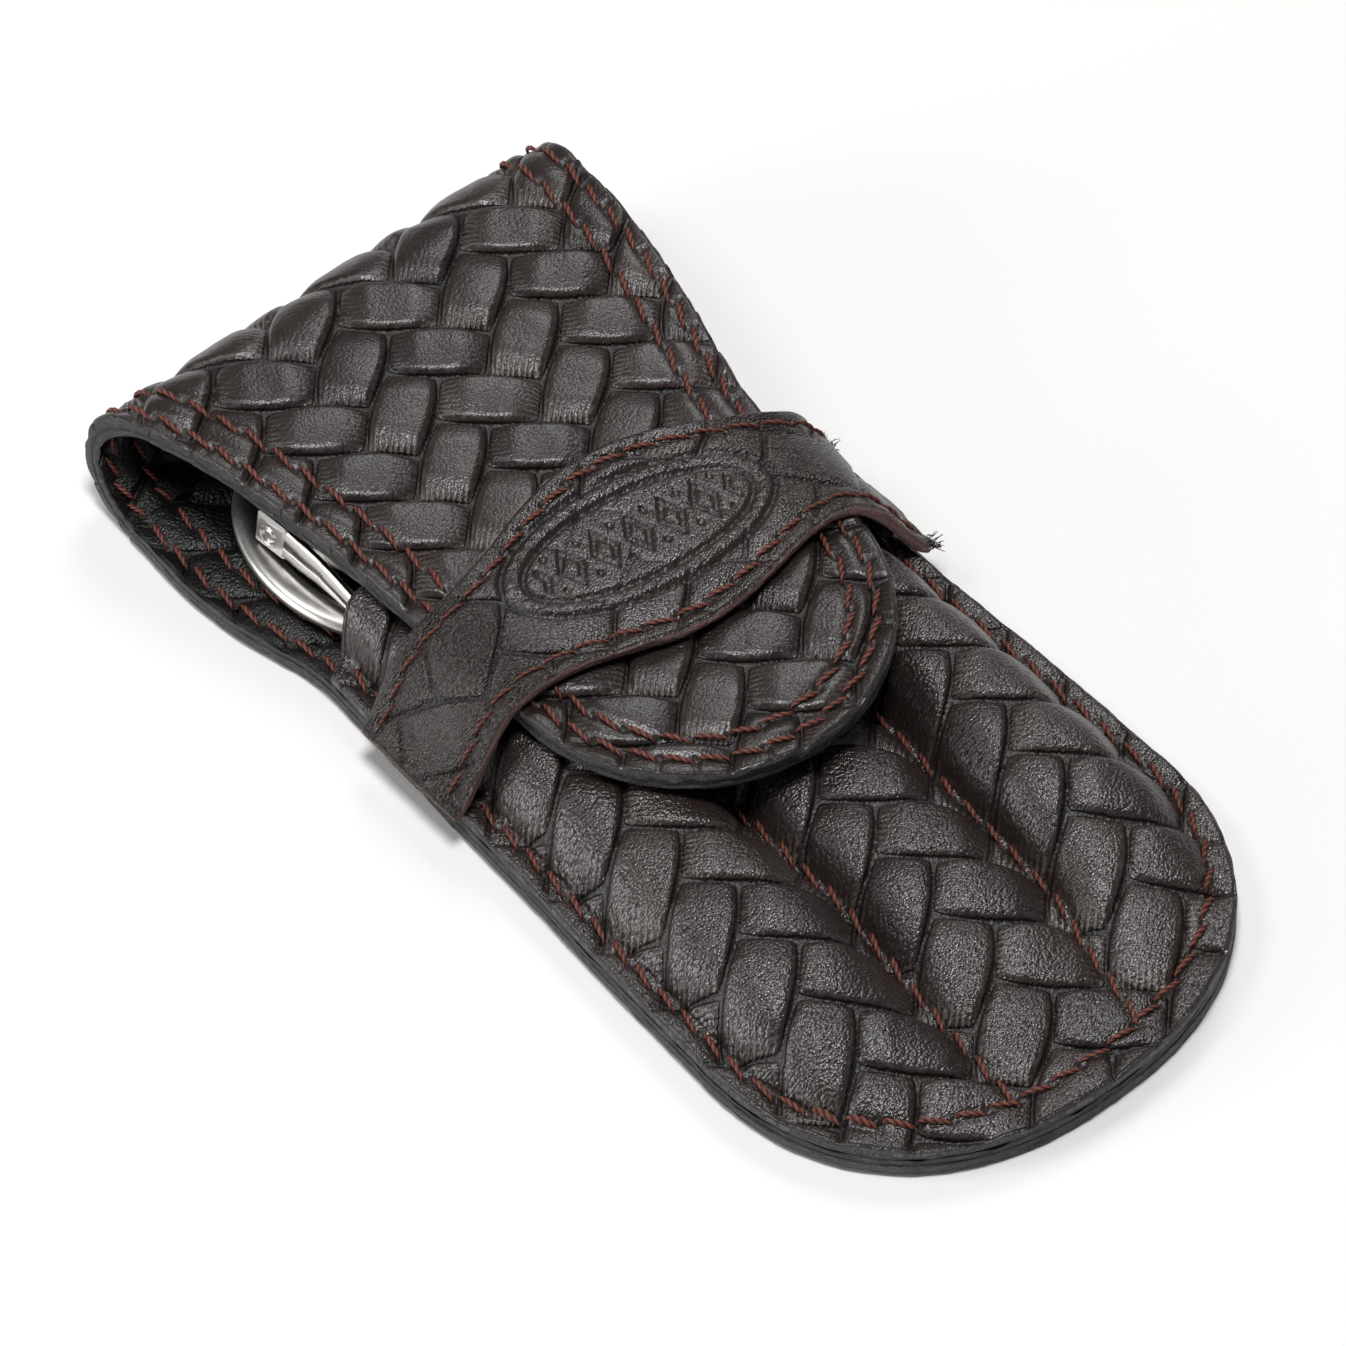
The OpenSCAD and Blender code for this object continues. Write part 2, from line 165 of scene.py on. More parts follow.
def weave(x, y, cell, xc, yc, warp):
    """Herringbone of 2:1 bricks. Returns the weave's own coordinates and the depth in mm."""
    x = x + 0.22 * noise(x, y, 7.0, 3)
    y = y + 0.25 * noise(x, y, 8.0, 5)
    y = y - warp * np.sin(2 * np.pi * (x - xc) / (4 * cell))
    x0, y0 = xc - 0.5 * cell, yc - 1.5 * cell
    u = ((x - x0) + (y - y0)) / (2 * cell)
    v = (-(x - x0) + (y - y0)) / (2 * cell)
    i, j = np.floor(u), np.floor(v)
    c = np.mod(i - j, 4).astype(int)
    rising = c < 2
    along = np.where(rising, (u - i) + c, (v - j) + (c == 2))
    across = np.where(rising, v - j, u - i)
    key = np.where(rising, (i - c) * 12.9898 + j * 78.233, i * 39.425 + (j - (c == 2)) * 17.77 + 5.1)
    r = np.sin(key) * 43758.5453
    r = r - np.floor(r)
    w = cell * math.sqrt(2)
    eb = np.minimum(across, 1 - across) * w
    ea = np.minimum(along, 2 - along) * w
    eb = np.maximum(0, eb - BOW_SIDE * np.abs(along - 1) ** 3)
    ea = np.maximum(0, ea - BOW_END * np.abs(2 * across - 1) ** 3)
    e = eb * ea / np.sqrt(eb * eb + ea * ea + 1e-6)
    side = 0.22 * (1 - np.clip(eb / (0.5 * w), 0, 1)) ** 2 + 0.26 * (1 - np.clip(eb / 0.9, 0, 1)) ** 2
    end = 0.72 * (1 - np.clip(ea / 3.3, 0, 1)) ** 1.6
    roll = 0.10 * np.sin((across - 0.5) * 2.2) * np.where(rising, 1, -1)
    depth = dip(e, 0.42, 0.31) + side + end + roll + 0.14 * (r - 0.5)
    depth = depth + 0.07 * noise(x, y, 2.6, 21)
    return u, v, np.clip(depth, -0.12, 1.1)


# Cell size, x and y of a cell's centre, and warp of each weave
FLAP_WEAVE = (3.87, -4.6, 39.1, -0.70)
POCKET_WEAVE = (4.18, -4.2, -41.5, -0.75)
LINER_WEAVE = (3.87, -1.0, 37.0, -0.7)
STRAP_WEAVE = (4.1, -3.0, 12.0, -0.6)


# ---------------------------------------------------------------- seams
def placed(t, s, p):
    """Places at distances t along a polyline whose points p lie at distances s."""
    return columns(*(np.interp(t, s, values) for values in p.T))


def walk(points, step=None, count=None):
    """Points evenly spaced along a polyline."""
    p = np.asarray(points, float)
    s = travelled(p)
    n = count or max(2, int(round(s[-1] / step)) + 1)
    t = np.linspace(0, s[-1], n)
    return placed(t, s, p)


def nearest(x, y, points):
    """Distance from each grid point to the nearest of some points."""
    flat = columns(x.ravel(), y.ravel()).astype(np.float32)
    points = np.asarray(points, np.float32)
    out = np.empty(len(flat), np.float32)
    for k in range(0, len(flat), 20000):
        d = flat[k:k + 20000, None, :] - points[None]
        out[k:k + 20000] = np.sqrt((d * d).sum(2).min(1))
    return out.reshape(x.shape)


def seam_relief(x, y, rows):
    """Depth that seams press into the leather: a shallow trough, with a hole between stitches."""
    line = nearest(x, y, np.concatenate([walk(row, step=0.5) for row in rows]))
    hole = nearest(x, y, np.concatenate(rows))
    nick = nearest(x, y, nicks(rows[0]))
    return dip(line, 0.30, 0.70) + dip(hole, 0.36, 0.36) + dip(nick, 0.16, 0.27)


def nicks(row):
    """Points of the short creases that run from each hole of a row out to the edge."""
    d = np.gradient(row, axis=0)
    out = columns(d[:, 1], -d[:, 0]) / length(d)[:, None]
    return np.concatenate([row + out * far for far in (0.45, 0.8, 1.15, 1.5)])


def flap_row(near_tip, near_fold):
    """One seam round the flap, so far inside its edge, from the fold down round the tongue and back."""
    q = np.linspace(FOLD_Y + ARC, TONGUE_Y, 120)
    r = TONGUE_R - near_tip
    inset = near_tip + (near_fold - near_tip) * ramp((q - 5) / 25)
    a = turns(180, 360, 60)
    arc = columns(TONGUE_X + r * np.cos(a), TONGUE_Y + r * np.sin(a))
    left = columns(left_x(q) + inset, q)
    right = columns(right_x(q) - inset, q)[::-1]
    return walk(np.concatenate([left[:-1], arc, right[1:]]), step=PITCH)


def end_arc(d, a0=-180.0, a1=0.0, n=120, extra=0.0):
    """The rounded end of the case, d mm inside its edge, and extra mm more at its very end."""
    p = oval(turns(a0, a1, n), HALF - d, BOTTOM_Y - WIDE_Y - d - extra, POWER)
    return columns(p[:, 0], p[:, 1] - WIDE_Y)


def rim_row(d, y_left, y_right, extra=0.0):
    """The seam round the case, from y_left down the left side, round the end and up to y_right."""
    y = np.linspace(y_left, -WIDE_Y, 80)[:-1]
    left = columns(-side_x(y) + d, y)
    y = np.linspace(-WIDE_Y, y_right, 80)[1:]
    right = columns(side_x(y) - d, y)
    return walk(np.concatenate([left, end_arc(d, extra=extra), right]), step=PITCH)


FLAP_ROWS = [flap_row(1.9, 1.7), flap_row(4.4, 5.0)]
RIM_ROWS = [rim_row(2.0, MOUTH_Y - 0.8, MOUTH_RIGHT - 0.8, 1.3)]
SEAM_LEFT = [
    (-7.1, 18.5), (-7.1, 0), (-6.7, -20), (-6.5, -28), (-7.1, -32.2), (-7.6, -36.6), (-8.4, -44.2),
    (-9.0, -51.8), (-9.1, -55.9),
]
SEAM_RIGHT = [
    (10.3, 18.5), (10.5, 0), (10.7, -17.4), (10.1, -24), (9.9, -31.2), (9.3, -41.2), (7.8, -45.7),
    (6.3, -53.5), (5.6, -56.6),
]
CHANNEL_ROWS = [walk(SEAM_LEFT, step=PITCH), walk(SEAM_RIGHT, step=PITCH)]


# ---------------------------------------------------------------- surfaces
def flip_q(y):
    """From y on the back panel to the flap's own q, and back."""
    return 2 * FOLD_Y + ARC - y


def place_flap(x, q, h):
    """Flat leather coordinates of the flap, fold and back to space."""
    x, q, h = np.broadcast_arrays(np.asarray(x, float), q, h)
    h = h + puff(q)
    a = np.pi / 2 - (q - FOLD_Y) / FOLD_R
    on_top, on_fold = q <= FOLD_Y, q < FOLD_Y + ARC
    y = np.where(on_top, q, np.where(on_fold, FOLD_Y + (FOLD_R + h) * np.cos(a), flip_q(q)))
    z = np.where(on_top, TOP + h, np.where(on_fold, FOLD_R + (FOLD_R + h) * np.sin(a), -h))
    return columns(x, y, z)


def case_edge(y):
    """Half the case's width at y."""
    t = np.clip(-(y + WIDE_Y) / (BOTTOM_Y - WIDE_Y), 0, 1)
    return np.where(y > -WIDE_Y, side_x(y), HALF * (1 - t ** POWER) ** (1 / POWER))


def pocket_height(x, y):
    """Height of the moulded pocket front above its flat rim."""
    filled = ramp((y + 58) / 29)
    edge = case_edge(y)
    seams = (np.array(points[::-1]).T for points in (SEAM_LEFT, SEAM_RIGHT))
    sl, sr = (np.interp(y, at, across) for across, at in seams)

    def lobe(a, b, h):
        """A channel's rounded top, h high, from a to b across."""
        w = np.maximum((b - a) / 2, 0.5)
        t = np.clip(np.abs(x - (a + b) / 2) / w, 0, 1)
        return h * (1 - t ** (2.9 + 3.0 * ramp((y - 8) / 8))) ** 0.9

    rim = edge - 2.7
    tops = (lobe(-rim, sl - 0.6, 5.9), lobe(sl + 0.3, sr - 0.3, 4.0), lobe(sr + 0.5, rim, 5.9))
    ripple = 0.18 * noise(x, y, 11, 2) * filled
    gape = 3.6 * ramp((y - 16.0) / 5) * ramp((edge - np.abs(x) - 3.5) / 3)
    return np.maximum.reduce(tops + (gape,)) * filled + ripple * (np.maximum.reduce(tops) > 0.8)


def place_pocket(x, y, h):
    return columns(x, y, RIM_Z + pocket_height(x, y) + h)


def place_lining(x, y, h):
    return columns(x, y, SKIN + h)


def place_back(x, y, h):
    return columns(x, y, -h)


# Edges of the strap in space, towards the case's rounded end and towards its fold
LOW_EDGE = [
    (-28.7, 2.4, 4.9), (-27.5, 2.5, 5.5), (-26.3, 2.6, 7.2), (-25.0, 2.7, 9.4), (-23.8, 2.8, 11.4),
    (-22.2, 3.0, 13.3), (-20.4, 3.1, 14.7), (-18.2, 3.2, 15.2), (-15.9, 3.2, 15.3), (-13.4, 2.9, 15.35),
    (-10.6, 2.2, 15.4), (-6.6, 0.8, 15.4), (-2.7, -0.6, 15.4), (1.4, -1.2, 15.45), (5.6, -1.0, 15.4),
    (9.9, -0.1, 15.4), (13.8, 0.8, 15.4), (17.2, 1.2, 15.3), (20.2, 0.8, 14.8), (22.2, 0.1, 13.7),
    (24.0, -0.7, 11.6), (25.7, -1.4, 8.8), (27.1, -1.8, 6.2), (28.7, -2.0, 4.9),
]
HIGH_EDGE = [
    (-28.7, 16.7, 4.9), (-27.9, 16.6, 5.3), (-26.9, 16.5, 7.3), (-26.0, 16.4, 9.7), (-24.9, 16.4, 12.1),
    (-23.1, 16.4, 14.4), (-20.6, 16.7, 15.15), (-18.1, 17.2, 15.3), (-15.2, 17.8, 15.35),
    (-11.8, 18.7, 15.4), (-8.8, 19.8, 15.45), (-4.6, 21.2, 15.5), (0.3, 22.2, 15.5), (3.0, 22.4, 15.5),
    (8.5, 21.6, 15.45), (14.4, 19.0, 15.35), (19.0, 16.5, 15.2), (22.0, 14.8, 14.9), (24.0, 14.1, 13.9),
    (25.7, 14.0, 11.5), (26.9, 14.1, 8.4), (27.8, 14.2, 6.0), (28.7, 14.3, 4.9),
]
STRAP_T = 1.5
STRAP_LEN = 70.0
STRAP_W = 22.0


def chaikin(p):
    """A polyline with its corners cut twice."""
    p = np.asarray(p, float)
    for _ in range(2):
        q = np.stack([0.75 * p[:-1] + 0.25 * p[1:], 0.25 * p[:-1] + 0.75 * p[1:]], 1).reshape(-1, p.shape[1])
        p = np.concatenate([p[:1], q, p[-1:]])
    return p


LINE_COUNT = 500
LOW_LINE, HIGH_LINE = (walk(chaikin(p), count=LINE_COUNT) for p in (LOW_EDGE, HIGH_EDGE))


def strap_point(s, t):
    """Outer face of the strap: s runs along it, t from its lower edge to its upper one, both in flat mm."""
    k = np.linspace(0, STRAP_LEN, LINE_COUNT)
    low, high = placed(s, k, LOW_LINE), placed(s, k, HIGH_LINE)
    f = (t / STRAP_W)[..., None]
    return low * (1 - f) + high * f


def place_strap(s, t, h):
    s, t, h = np.broadcast_arrays(np.asarray(s, float), t, h)
    e = 0.25
    along = strap_point(s + e, t) - strap_point(s - e, t)
    across = strap_point(s, t + e) - strap_point(s, t - e)
    n = np.cross(along, across)
    n /= length(n)[..., None] + 1e-9
    return strap_point(s, t) + n * h[..., None]


def strap_width(s):
    return length(strap_point(s, 0 * s + STRAP_W) - strap_point(s, 0 * s))


def strap_row(inset, low):
    """A seam along one edge of the strap, its stitches evenly spaced over the strap's face."""
    s = np.linspace(1.2, STRAP_LEN - 1.2, 120)
    t = inset / strap_width(s) * STRAP_W
    flat = columns(s, t if low else STRAP_W - t)
    route = strap_point(flat[:, 0], flat[:, 1])
    run = travelled(route)
    at = np.linspace(0, run[-1], int(round(run[-1] / PITCH)) + 1)
    return placed(at, run, flat)


STRAP_ROWS = [strap_row(1.9, True), strap_row(1.8, False)]
STAMP_X, STAMP_Y, STAMP_TURN = 2, 11.4, math.radians(-7)


def emblem(x, y):
    """Relief of the oval stamp and how far the weave is pressed flat under it."""
    c, s = math.cos(STAMP_TURN), math.sin(STAMP_TURN)
    u, v = (x - STAMP_X) * c + (y - STAMP_Y) * s, -(x - STAMP_X) * s + (y - STAMP_Y) * c

    def off(a, b):
        """Signed distance from an oval, roughly in mm."""
        r = np.sqrt((u / a) ** 2 + (v / b) ** 2)
        return (r - 1) * a * b / np.sqrt((u * b / a) ** 2 + (v * a / b) ** 2 + 0.5) * r

    inside = ramp(0.5 - off(15.2, 7.4) / 0.8)
    d = dip(off(15.0, 7.2), 0.60, 0.36) + dip(off(12.7, 5.1), 0.55, 0.33) - dip(off(13.9, 6.2), 0.14, 0.55)
    core = ramp(-off(12.0, 4.6) / 0.5)
    k = np.mod(u + 1.9, 3.8) - 1.9
    big = np.abs(k) / 1.35 + np.abs(v) / 2.5
    small = np.abs(np.mod(u, 3.8) - 1.9) / 0.55 + np.abs(np.abs(v) - 2.2) / 0.75
    d = d + core * (0.46 * ramp(1.6 - 4.0 * np.abs(big - 0.85)) + 0.42 * ramp(1.7 - 1.7 * small))
    d = d - core * 0.12 * ramp(1.3 - 2.2 * big)
    ring = ramp(off(12.0, 4.6) / 0.5) * inside
    tick = np.cos(np.arctan2(v * 2.05, u) * 44)
    d = d + 0.16 * ring * ramp(tick * 1.5 - 0.4) * ramp(1 - np.abs(off(13.9, 6.2)) / 0.75)
    return d, inside


# ---------------------------------------------------------------- mesh making
def coons(left, right, low, high):
    """Grid between four border lines: left and right run upwards, low and high to the right."""
    t = np.linspace(0, 1, len(left))[:, None, None]
    s = np.linspace(0, 1, len(low))[None, :, None]
    g = (1 - s) * left[:, None] + s * right[:, None] + (1 - t) * low[None] + t * high[None]
    corners = (1 - s) * (1 - t) * low[0] + s * (1 - t) * low[-1]
    return g - (corners + (1 - s) * t * high[0] + s * t * high[-1])


def profile(thick, joint, square):
    """Steps over a leather edge, from the outer face down to the inner one: (outwards, into the leather).
    square names the corners, outer or inner, that stay sharp because another layer is glued there."""
    r = EDGE
    if "outer" in square:
        steps = [(r - 0.10, 0.0), (r - 0.03, 0.05), (r, 0.12)]
    else:
        steps = [(r * math.sin(a), r * (1 - math.cos(a))) for a in np.radians([25, 50, 75])]
        steps += [(r, r * 1.15)]
    if joint:
        steps += [(r, joint - 0.22), (r - 0.14, joint - 0.05)]
        steps += [(r - 0.14, joint + 0.05), (r - 0.04, joint + 0.22)]
    else:
        steps += [(r * 1.02, thick * 0.5)]
    if "inner" in square:
        return steps + [(r, thick - 0.15), (r - 0.03, thick - 0.05), (r - 0.10, thick)]
    return steps + [(r - 0.04, thick - r), (r * 0.8, thick - 0.45 * r), (r * 0.45, thick - 0.12 * r)]


def add_object(name, data):
    obj = bpy.data.objects.new(name, data)
    bpy.context.scene.collection.objects.link(obj)
    return obj


def finish_mesh(obj_name, verts, faces, mats, index=None, attrs=None, sharp=55):
    """A smooth object from vertices in mm, with a material index per face and values per point."""
    me = bpy.data.meshes.new(obj_name)
    me.from_pydata((verts * MM).tolist(), [], faces)
    for m in mats:
        me.materials.append(m)
    if index is not None:
        me.polygons.foreach_set("material_index", np.asarray(index, np.int32))
    for key, values in (attrs or {}).items():
        values = np.asarray(values, np.float32)
        kind = "FLOAT" if values.ndim == 1 else "FLOAT_VECTOR"
        a = me.attributes.new(key, kind, "POINT")
        a.data.foreach_set("value" if values.ndim == 1 else "vector", values.ravel())
    bm = bmesh.new()
    bm.from_mesh(me)
    bmesh.ops.recalc_face_normals(bm, faces=bm.faces)
    bm.to_mesh(me)
    bm.free()
    me.polygons.foreach_set("use_smooth", np.ones(len(me.polygons), bool))
    me.set_sharp_from_angle(angle=math.radians(sharp))
    me.update()
    return add_object(obj_name, me)


def slab(obj_name, grid, place, thick, mats, relief, under=None, joint=None, caps=("high",), ring=False,
         rough=0.16, square=""):
    """A closed leather piece over a flat grid, rows upwards and columns to the right. relief(x, q) gives the
    outer face's (depth, weave data, pressing); under does the same for the inner face. caps names the rows
    that meet a neighbour, and every other side gets a rounded edge; with ring, all sides do. joint is the
    depth at which two glued leathers meet, and rough is how uneven the edge is."""
    nv, nu = grid.shape[:2]
    x, q = grid[..., 0], grid[..., 1]
    t = thick(x, q) if callable(thick) else np.full(x.shape, thick)
    d, data, press = relief(x, q)
    if under:
        d2, data2, press2 = under(x, q)
    else:
        d2, data2, press2 = 0 * x, columns(0, 0, 0 * x), 0 * x
    ids = np.arange(nv * nu).reshape(nv, nu)
    verts = [place(x, q, -d).reshape(-1, 3), place(x, q, -t + d2).reshape(-1, 3)]
    flat = [columns(x, q, layer).reshape(-1, 3) for layer in (0, 9)]
    weave_data = [data.reshape(-1, 3), data2.reshape(-1, 3)]
    pressed = [press.ravel(), press2.ravel()]
    quads = columns(ids[:-1, :-1], ids[:-1, 1:], ids[1:, 1:], ids[1:, :-1]).reshape(-1, 4)
    faces = [quads, quads[:, ::-1] + nv * nu]
    index = [np.zeros(len(quads)), np.full(len(quads), 2)]
    down = [(i, 0) for i in range(nv - 1, -1, -1)]
    along = [(0, j) for j in range(nu)]
    up = [(i, nu - 1) for i in range(nv)]
    back = [(nv - 1, j) for j in range(nu - 1, -1, -1)]
    if ring:
        paths, closed = [down[:-1] + along[:-1] + up[:-1] + back[:-1]], True
    elif "low" in caps and "high" in caps:
        paths, closed = [down, up], False
    elif "high" in caps:
        paths, closed = [down[:-1] + along[:-1] + up], False
    else:
        paths, closed = [up[:-1] + back[:-1] + down], False
    start = 2 * nv * nu
    skirts = {}
    for path in paths:
        rows, cols = np.array(path).T
        px, pq, pt = x[rows, cols], q[rows, cols], t[rows, cols]
        if closed:
            tx, tq = np.roll(px, -1) - np.roll(px, 1), np.roll(pq, -1) - np.roll(pq, 1)
        else:
            tx, tq = np.gradient(px), np.gradient(pq)
        pace = np.hypot(tx, tq) + 1e-9
        ox, oq = -tq / pace, tx / pace
        centre = (x.mean(), q.mean())
        if np.mean(ox * (px - centre[0]) + oq * (pq - centre[1])) < 0:
            ox, oq = -ox, -oq
        if not closed:
            for end in (0, -1):
                if rows[end] in (0, nv - 1):
                    ox[end], oq[end] = np.sign(ox[end]), 0.0
        s = travelled(columns(px, pq))
        loops = [ids[rows, cols]]
        d0, d1 = d[rows, cols], d2[rows, cols]
        steps = profile(1.0 if callable(thick) else thick, joint, square)
        for k, (out, into) in enumerate(steps):
            f = k / (len(steps) - 1)
            depth = into if not callable(thick) else np.where(f < 0.5, into, pt - (1.0 - into))
            wob = 1 + rough * (noise(s, 7.0 * k, 1.6, 11) + 0.7 * noise(s, 3.0 * k, 6.0, 12))
            depth = depth + d0 * (1 - f) ** 2 * (f < 0.4)
            h = 0.03 * noise(s, 5.0 * k, 2.2, 13) * (0.15 < f < 0.9) - depth
            h = np.maximum(h, -pt + d1 * (f > 0.75) * 0.5)
            verts.append(place(px + ox * out * wob, pq + oq * out * wob, h))
            flat.append(columns(px + ox * out, pq + oq * out, 3 + into))
            weave_data.append(columns(0.5, 0.5, 0 * s))
            pressed.append(0 * s)
            loops.append(start + np.arange(len(path)))
            start += len(path)
        loops.append(ids[rows, cols] + nv * nu)
        for k, (a, b) in enumerate(zip(loops[:-1], loops[1:])):
            if closed:
                a2, b2 = np.roll(a, -1), np.roll(b, -1)
            else:
                a, a2, b, b2 = a[:-1], a[1:], b[:-1], b[1:]
            faces.append(columns(a, b, b2, a2))
            index.append(np.full(len(a), 0 if k < 2 else 1))
        skirts[path[0]] = [int(v[0]) for v in loops]
        skirts[path[-1]] = [int(v[-1]) for v in loops]
    ngons = []
    if not ring:
        for row, name in ((0, "low"), (nv - 1, "high")):
            if name not in caps:
                continue
            a = ids[row]
            faces.append(columns(a[:-1], a[1:], a[1:] + nv * nu, a[:-1] + nv * nu))
            index.append(np.full(nu - 1, 1))
            ngons += [skirts[(row, 0)], skirts[(row, nu - 1)]]
    faces = [f.tolist() for f in faces]
    flat_faces = [f for block in faces for f in block] + ngons
    index = np.concatenate(index + [np.ones(len(ngons))])
    attrs = {"flat": flat, "weave": weave_data, "press": pressed}
    attrs = {key: np.concatenate(parts) for key, parts in attrs.items()}
    return finish_mesh(obj_name, np.concatenate(verts), flat_faces, mats, index, attrs)


def tube_faces(n, m, start=0, closed=False):
    """Faces of a tube of n rings of m points, capped unless it is closed on itself."""
    k = start + np.arange(n * m).reshape(n, m)
    a, b = (k, np.roll(k, -1, 0)) if closed else (k[:-1], k[1:])
    faces = columns(a, np.roll(a, -1, 1), np.roll(b, -1, 1), b).reshape(-1, 4).tolist()
    return faces if closed else faces + [k[0].tolist()[::-1], k[-1].tolist()]


def threads(obj_name, rows, place, seed, base=0.0, sign=1, pick=None):
    """Two-ply stitches along seams: each runs from hole to hole, dives at both ends and slants a little.
    base and sign say where the leather's face is and which way it looks; pick chooses stitches by place."""
    ns, nr = 15, 10
    s = np.linspace(0, 1, ns)
    phi = np.linspace(0, 2 * np.pi, nr, endpoint=False)
    verts, faces, ply = [], [], []
    count = 0
    rng = np.random.default_rng(seed)
    for row in rows:
        for a, b in zip(row[:-1], row[1:]):
            wob = rng.uniform(-1, 1, 4)
            if pick and not pick(*(0.5 * (a + b))):
                continue
            d = b - a
            side = np.array([-d[1], d[0]]) / length(d)
            slant = (0.36 + 0.07 * wob[0]) * (0.5 - s) * 2
            centre = a + np.outer(0.04 + 0.92 * s, d) + np.outer(slant + 0.05 * wob[1], side)
            lift = -0.56 + (0.50 + 0.05 * wob[2]) * np.sin(np.pi * s) ** 0.33
            taper = np.clip(np.sin(np.pi * np.clip(s, 0.02, 0.98)), 0.12, 1) ** 0.35
            theta = 2 * np.pi * (1.9 * s) + wob[3] * 3
            lobes = np.cos(2 * (phi[None] - theta[:, None]))
            r = THREAD_R * taper[:, None] * (0.95 + 0.13 * lobes)
            px = centre[:, None, 0] + side[0] * r * np.cos(phi)
            pq = centre[:, None, 1] + side[1] * r * np.cos(phi)
            ph = base + sign * (lift[:, None] + 0.85 * r * np.sin(phi))
            verts.append(place(px, pq, ph).reshape(-1, 3))
            ply.append(lobes.ravel())
            faces += tube_faces(ns, nr, count)
            count += ns * nr
    if not verts:
        return None
    return finish_mesh(obj_name, np.concatenate(verts), faces, [THREAD], attrs={"ply": np.concatenate(ply)})


def attach(piece, slot, body, *nodes):
    """Gives a piece its body, and hides the CAD nodes that it replaces. slot, the piece's finish, is not
    used.
    """
    if nodes:
        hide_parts(*nodes)
    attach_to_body(piece, body)


# ---------------------------------------------------------------- materials
class Nodes:
    """A material, and a short way to add and link its shader nodes."""

    def __init__(self, name):
        self.material = bpy.data.materials.new(name)
        self.material.use_nodes = True
        self.tree = self.material.node_tree

    def fill(self, node, inputs):
        """Sets or links a node's inputs, by name or number."""
        for key, value in inputs.items():
            if isinstance(value, bpy.types.NodeSocket):
                self.tree.links.new(value, node.inputs[key])
            else:
                node.inputs[key].default_value = value

    def add(self, kind, inputs, **settings):
        """The outputs of a new node."""
        node = self.tree.nodes.new("ShaderNode" + kind)
        for key, value in settings.items():
            setattr(node, key, value)
        self.fill(node, inputs)
        return node.outputs

    def finish(self, inputs):
        self.fill(self.tree.nodes["Principled BSDF"], inputs)
        return self.material

    def attribute(self, name, output="Vector"):
        return self.add("Attribute", {}, attribute_name=name)[output]

    def place(self):
        return self.add("TexCoord", {})["Object"]

    def math(self, op, *values, clamp=False):
        return self.add("Math", dict(enumerate(values)), operation=op, use_clamp=clamp)[0]

    def times(self, a, b):
        return self.math("MULTIPLY", a, b)

    def plus(self, a, b, clamp=False):
        return self.math("ADD", a, b, clamp=clamp)

    def minus(self, a, b):
        return self.math("SUBTRACT", a, b)

    def madd(self, a, b, c, clamp=False):
        return self.math("MULTIPLY_ADD", a, b, c, clamp=clamp)

    def noise(self, vector, scale, detail=2.0, rough=0.5, distort=0.0):
        inputs = {"Vector": vector, "Scale": scale, "Detail": detail, "Roughness": rough}
        return self.add("TexNoise", {**inputs, "Distortion": distort})["Fac"]

    def voronoi(self, vector, scale):
        return self.add("TexVoronoi", {"Vector": vector, "Scale": scale})["Distance"]

    def ramp(self, fac, stops):
        """A colour ramp through (place, colour) stops."""
        node = self.tree.nodes.new("ShaderNodeValToRGB")
        elements = node.color_ramp.elements
        while len(elements) < len(stops):
            elements.new(0.5)
        for element, (place, colour) in zip(elements, stops):
            element.position = place
            element.color = (*colour, 1)
        self.fill(node, {"Fac": fac})
        return node.outputs["Color"]

    def mix(self, fac, a, b):
        """A blend of two colours: 6, 7 and 2 are the mix node's colour sockets."""
        b = (*b, 1) if isinstance(b, tuple) else b
        return self.add("Mix", {0: fac, 6: a, 7: b}, data_type="RGBA")[2]

    def choose(self, first, a, b):
        """a where first is 1, b where it is 0."""
        return self.madd(first, self.minus(a, b), b)

    def bricks(self, u, v):
        """The weave again in nodes, so its grooves stay sharp: along, across, random, mm to the groove
        and how much an end is pleated."""
        i, j = self.math("FLOOR", u), self.math("FLOOR", v)
        fu, fv = self.minus(u, i), self.minus(v, j)
        c = self.times(self.math("FRACT", self.times(self.minus(i, j), 0.25)), 4.0)
        rising = self.math("LESS_THAN", c, 1.5)
        second, third = (self.math("COMPARE", c, float(k), 0.4) for k in (1, 2))
        along = self.choose(rising, self.plus(fu, second), self.plus(fv, third))
        across = self.choose(rising, fv, fu)
        key = self.add("CombineXYZ", {0: self.minus(i, second), 1: self.minus(j, third), 2: rising})[0]
        random = self.add("TexWhiteNoise", {"Vector": key})["Value"]
        off_end = self.math("ABSOLUTE", self.minus(along, 1.0))
        off_mid = self.math("ABSOLUTE", self.madd(across, 2.0, -1.0))
        eb = self.times(self.minus(1.0, off_mid), 0.5 * BRICK)
        eb = self.minus(eb, self.times(self.math("POWER", off_end, 3.0), BOW_SIDE))
        ea = self.times(self.minus(1.0, off_end), BRICK)
        ea = self.minus(ea, self.times(self.math("POWER", off_mid, 3.0), BOW_END))
        lower = self.math("LESS_THAN", along, 1.0)
        pleated = self.choose(rising, self.madd(lower, 0.85, 0.15), 0.45)
        return off_end, across, random, self.math("SMOOTH_MIN", ea, eb, 0.35), pleated

    def fade(self, value, start, end):
        """1 up to start, falling to 0 at end."""
        inputs = {"Value": value, "From Min": start, "From Max": end, "To Min": 1.0, "To Max": 0.0}
        return self.add("MapRange", inputs, interpolation_type="SMOOTHSTEP")[0]

    def scale(self, vector, by):
        return self.add("VectorMath", {0: vector, 1: by}, operation="MULTIPLY")[0]

    def split(self, vector):
        return self.add("SeparateXYZ", {0: vector})

    def bump(self, height, distance, strength):
        return self.add("Bump", {"Height": height, "Distance": distance, "Strength": strength})["Normal"]


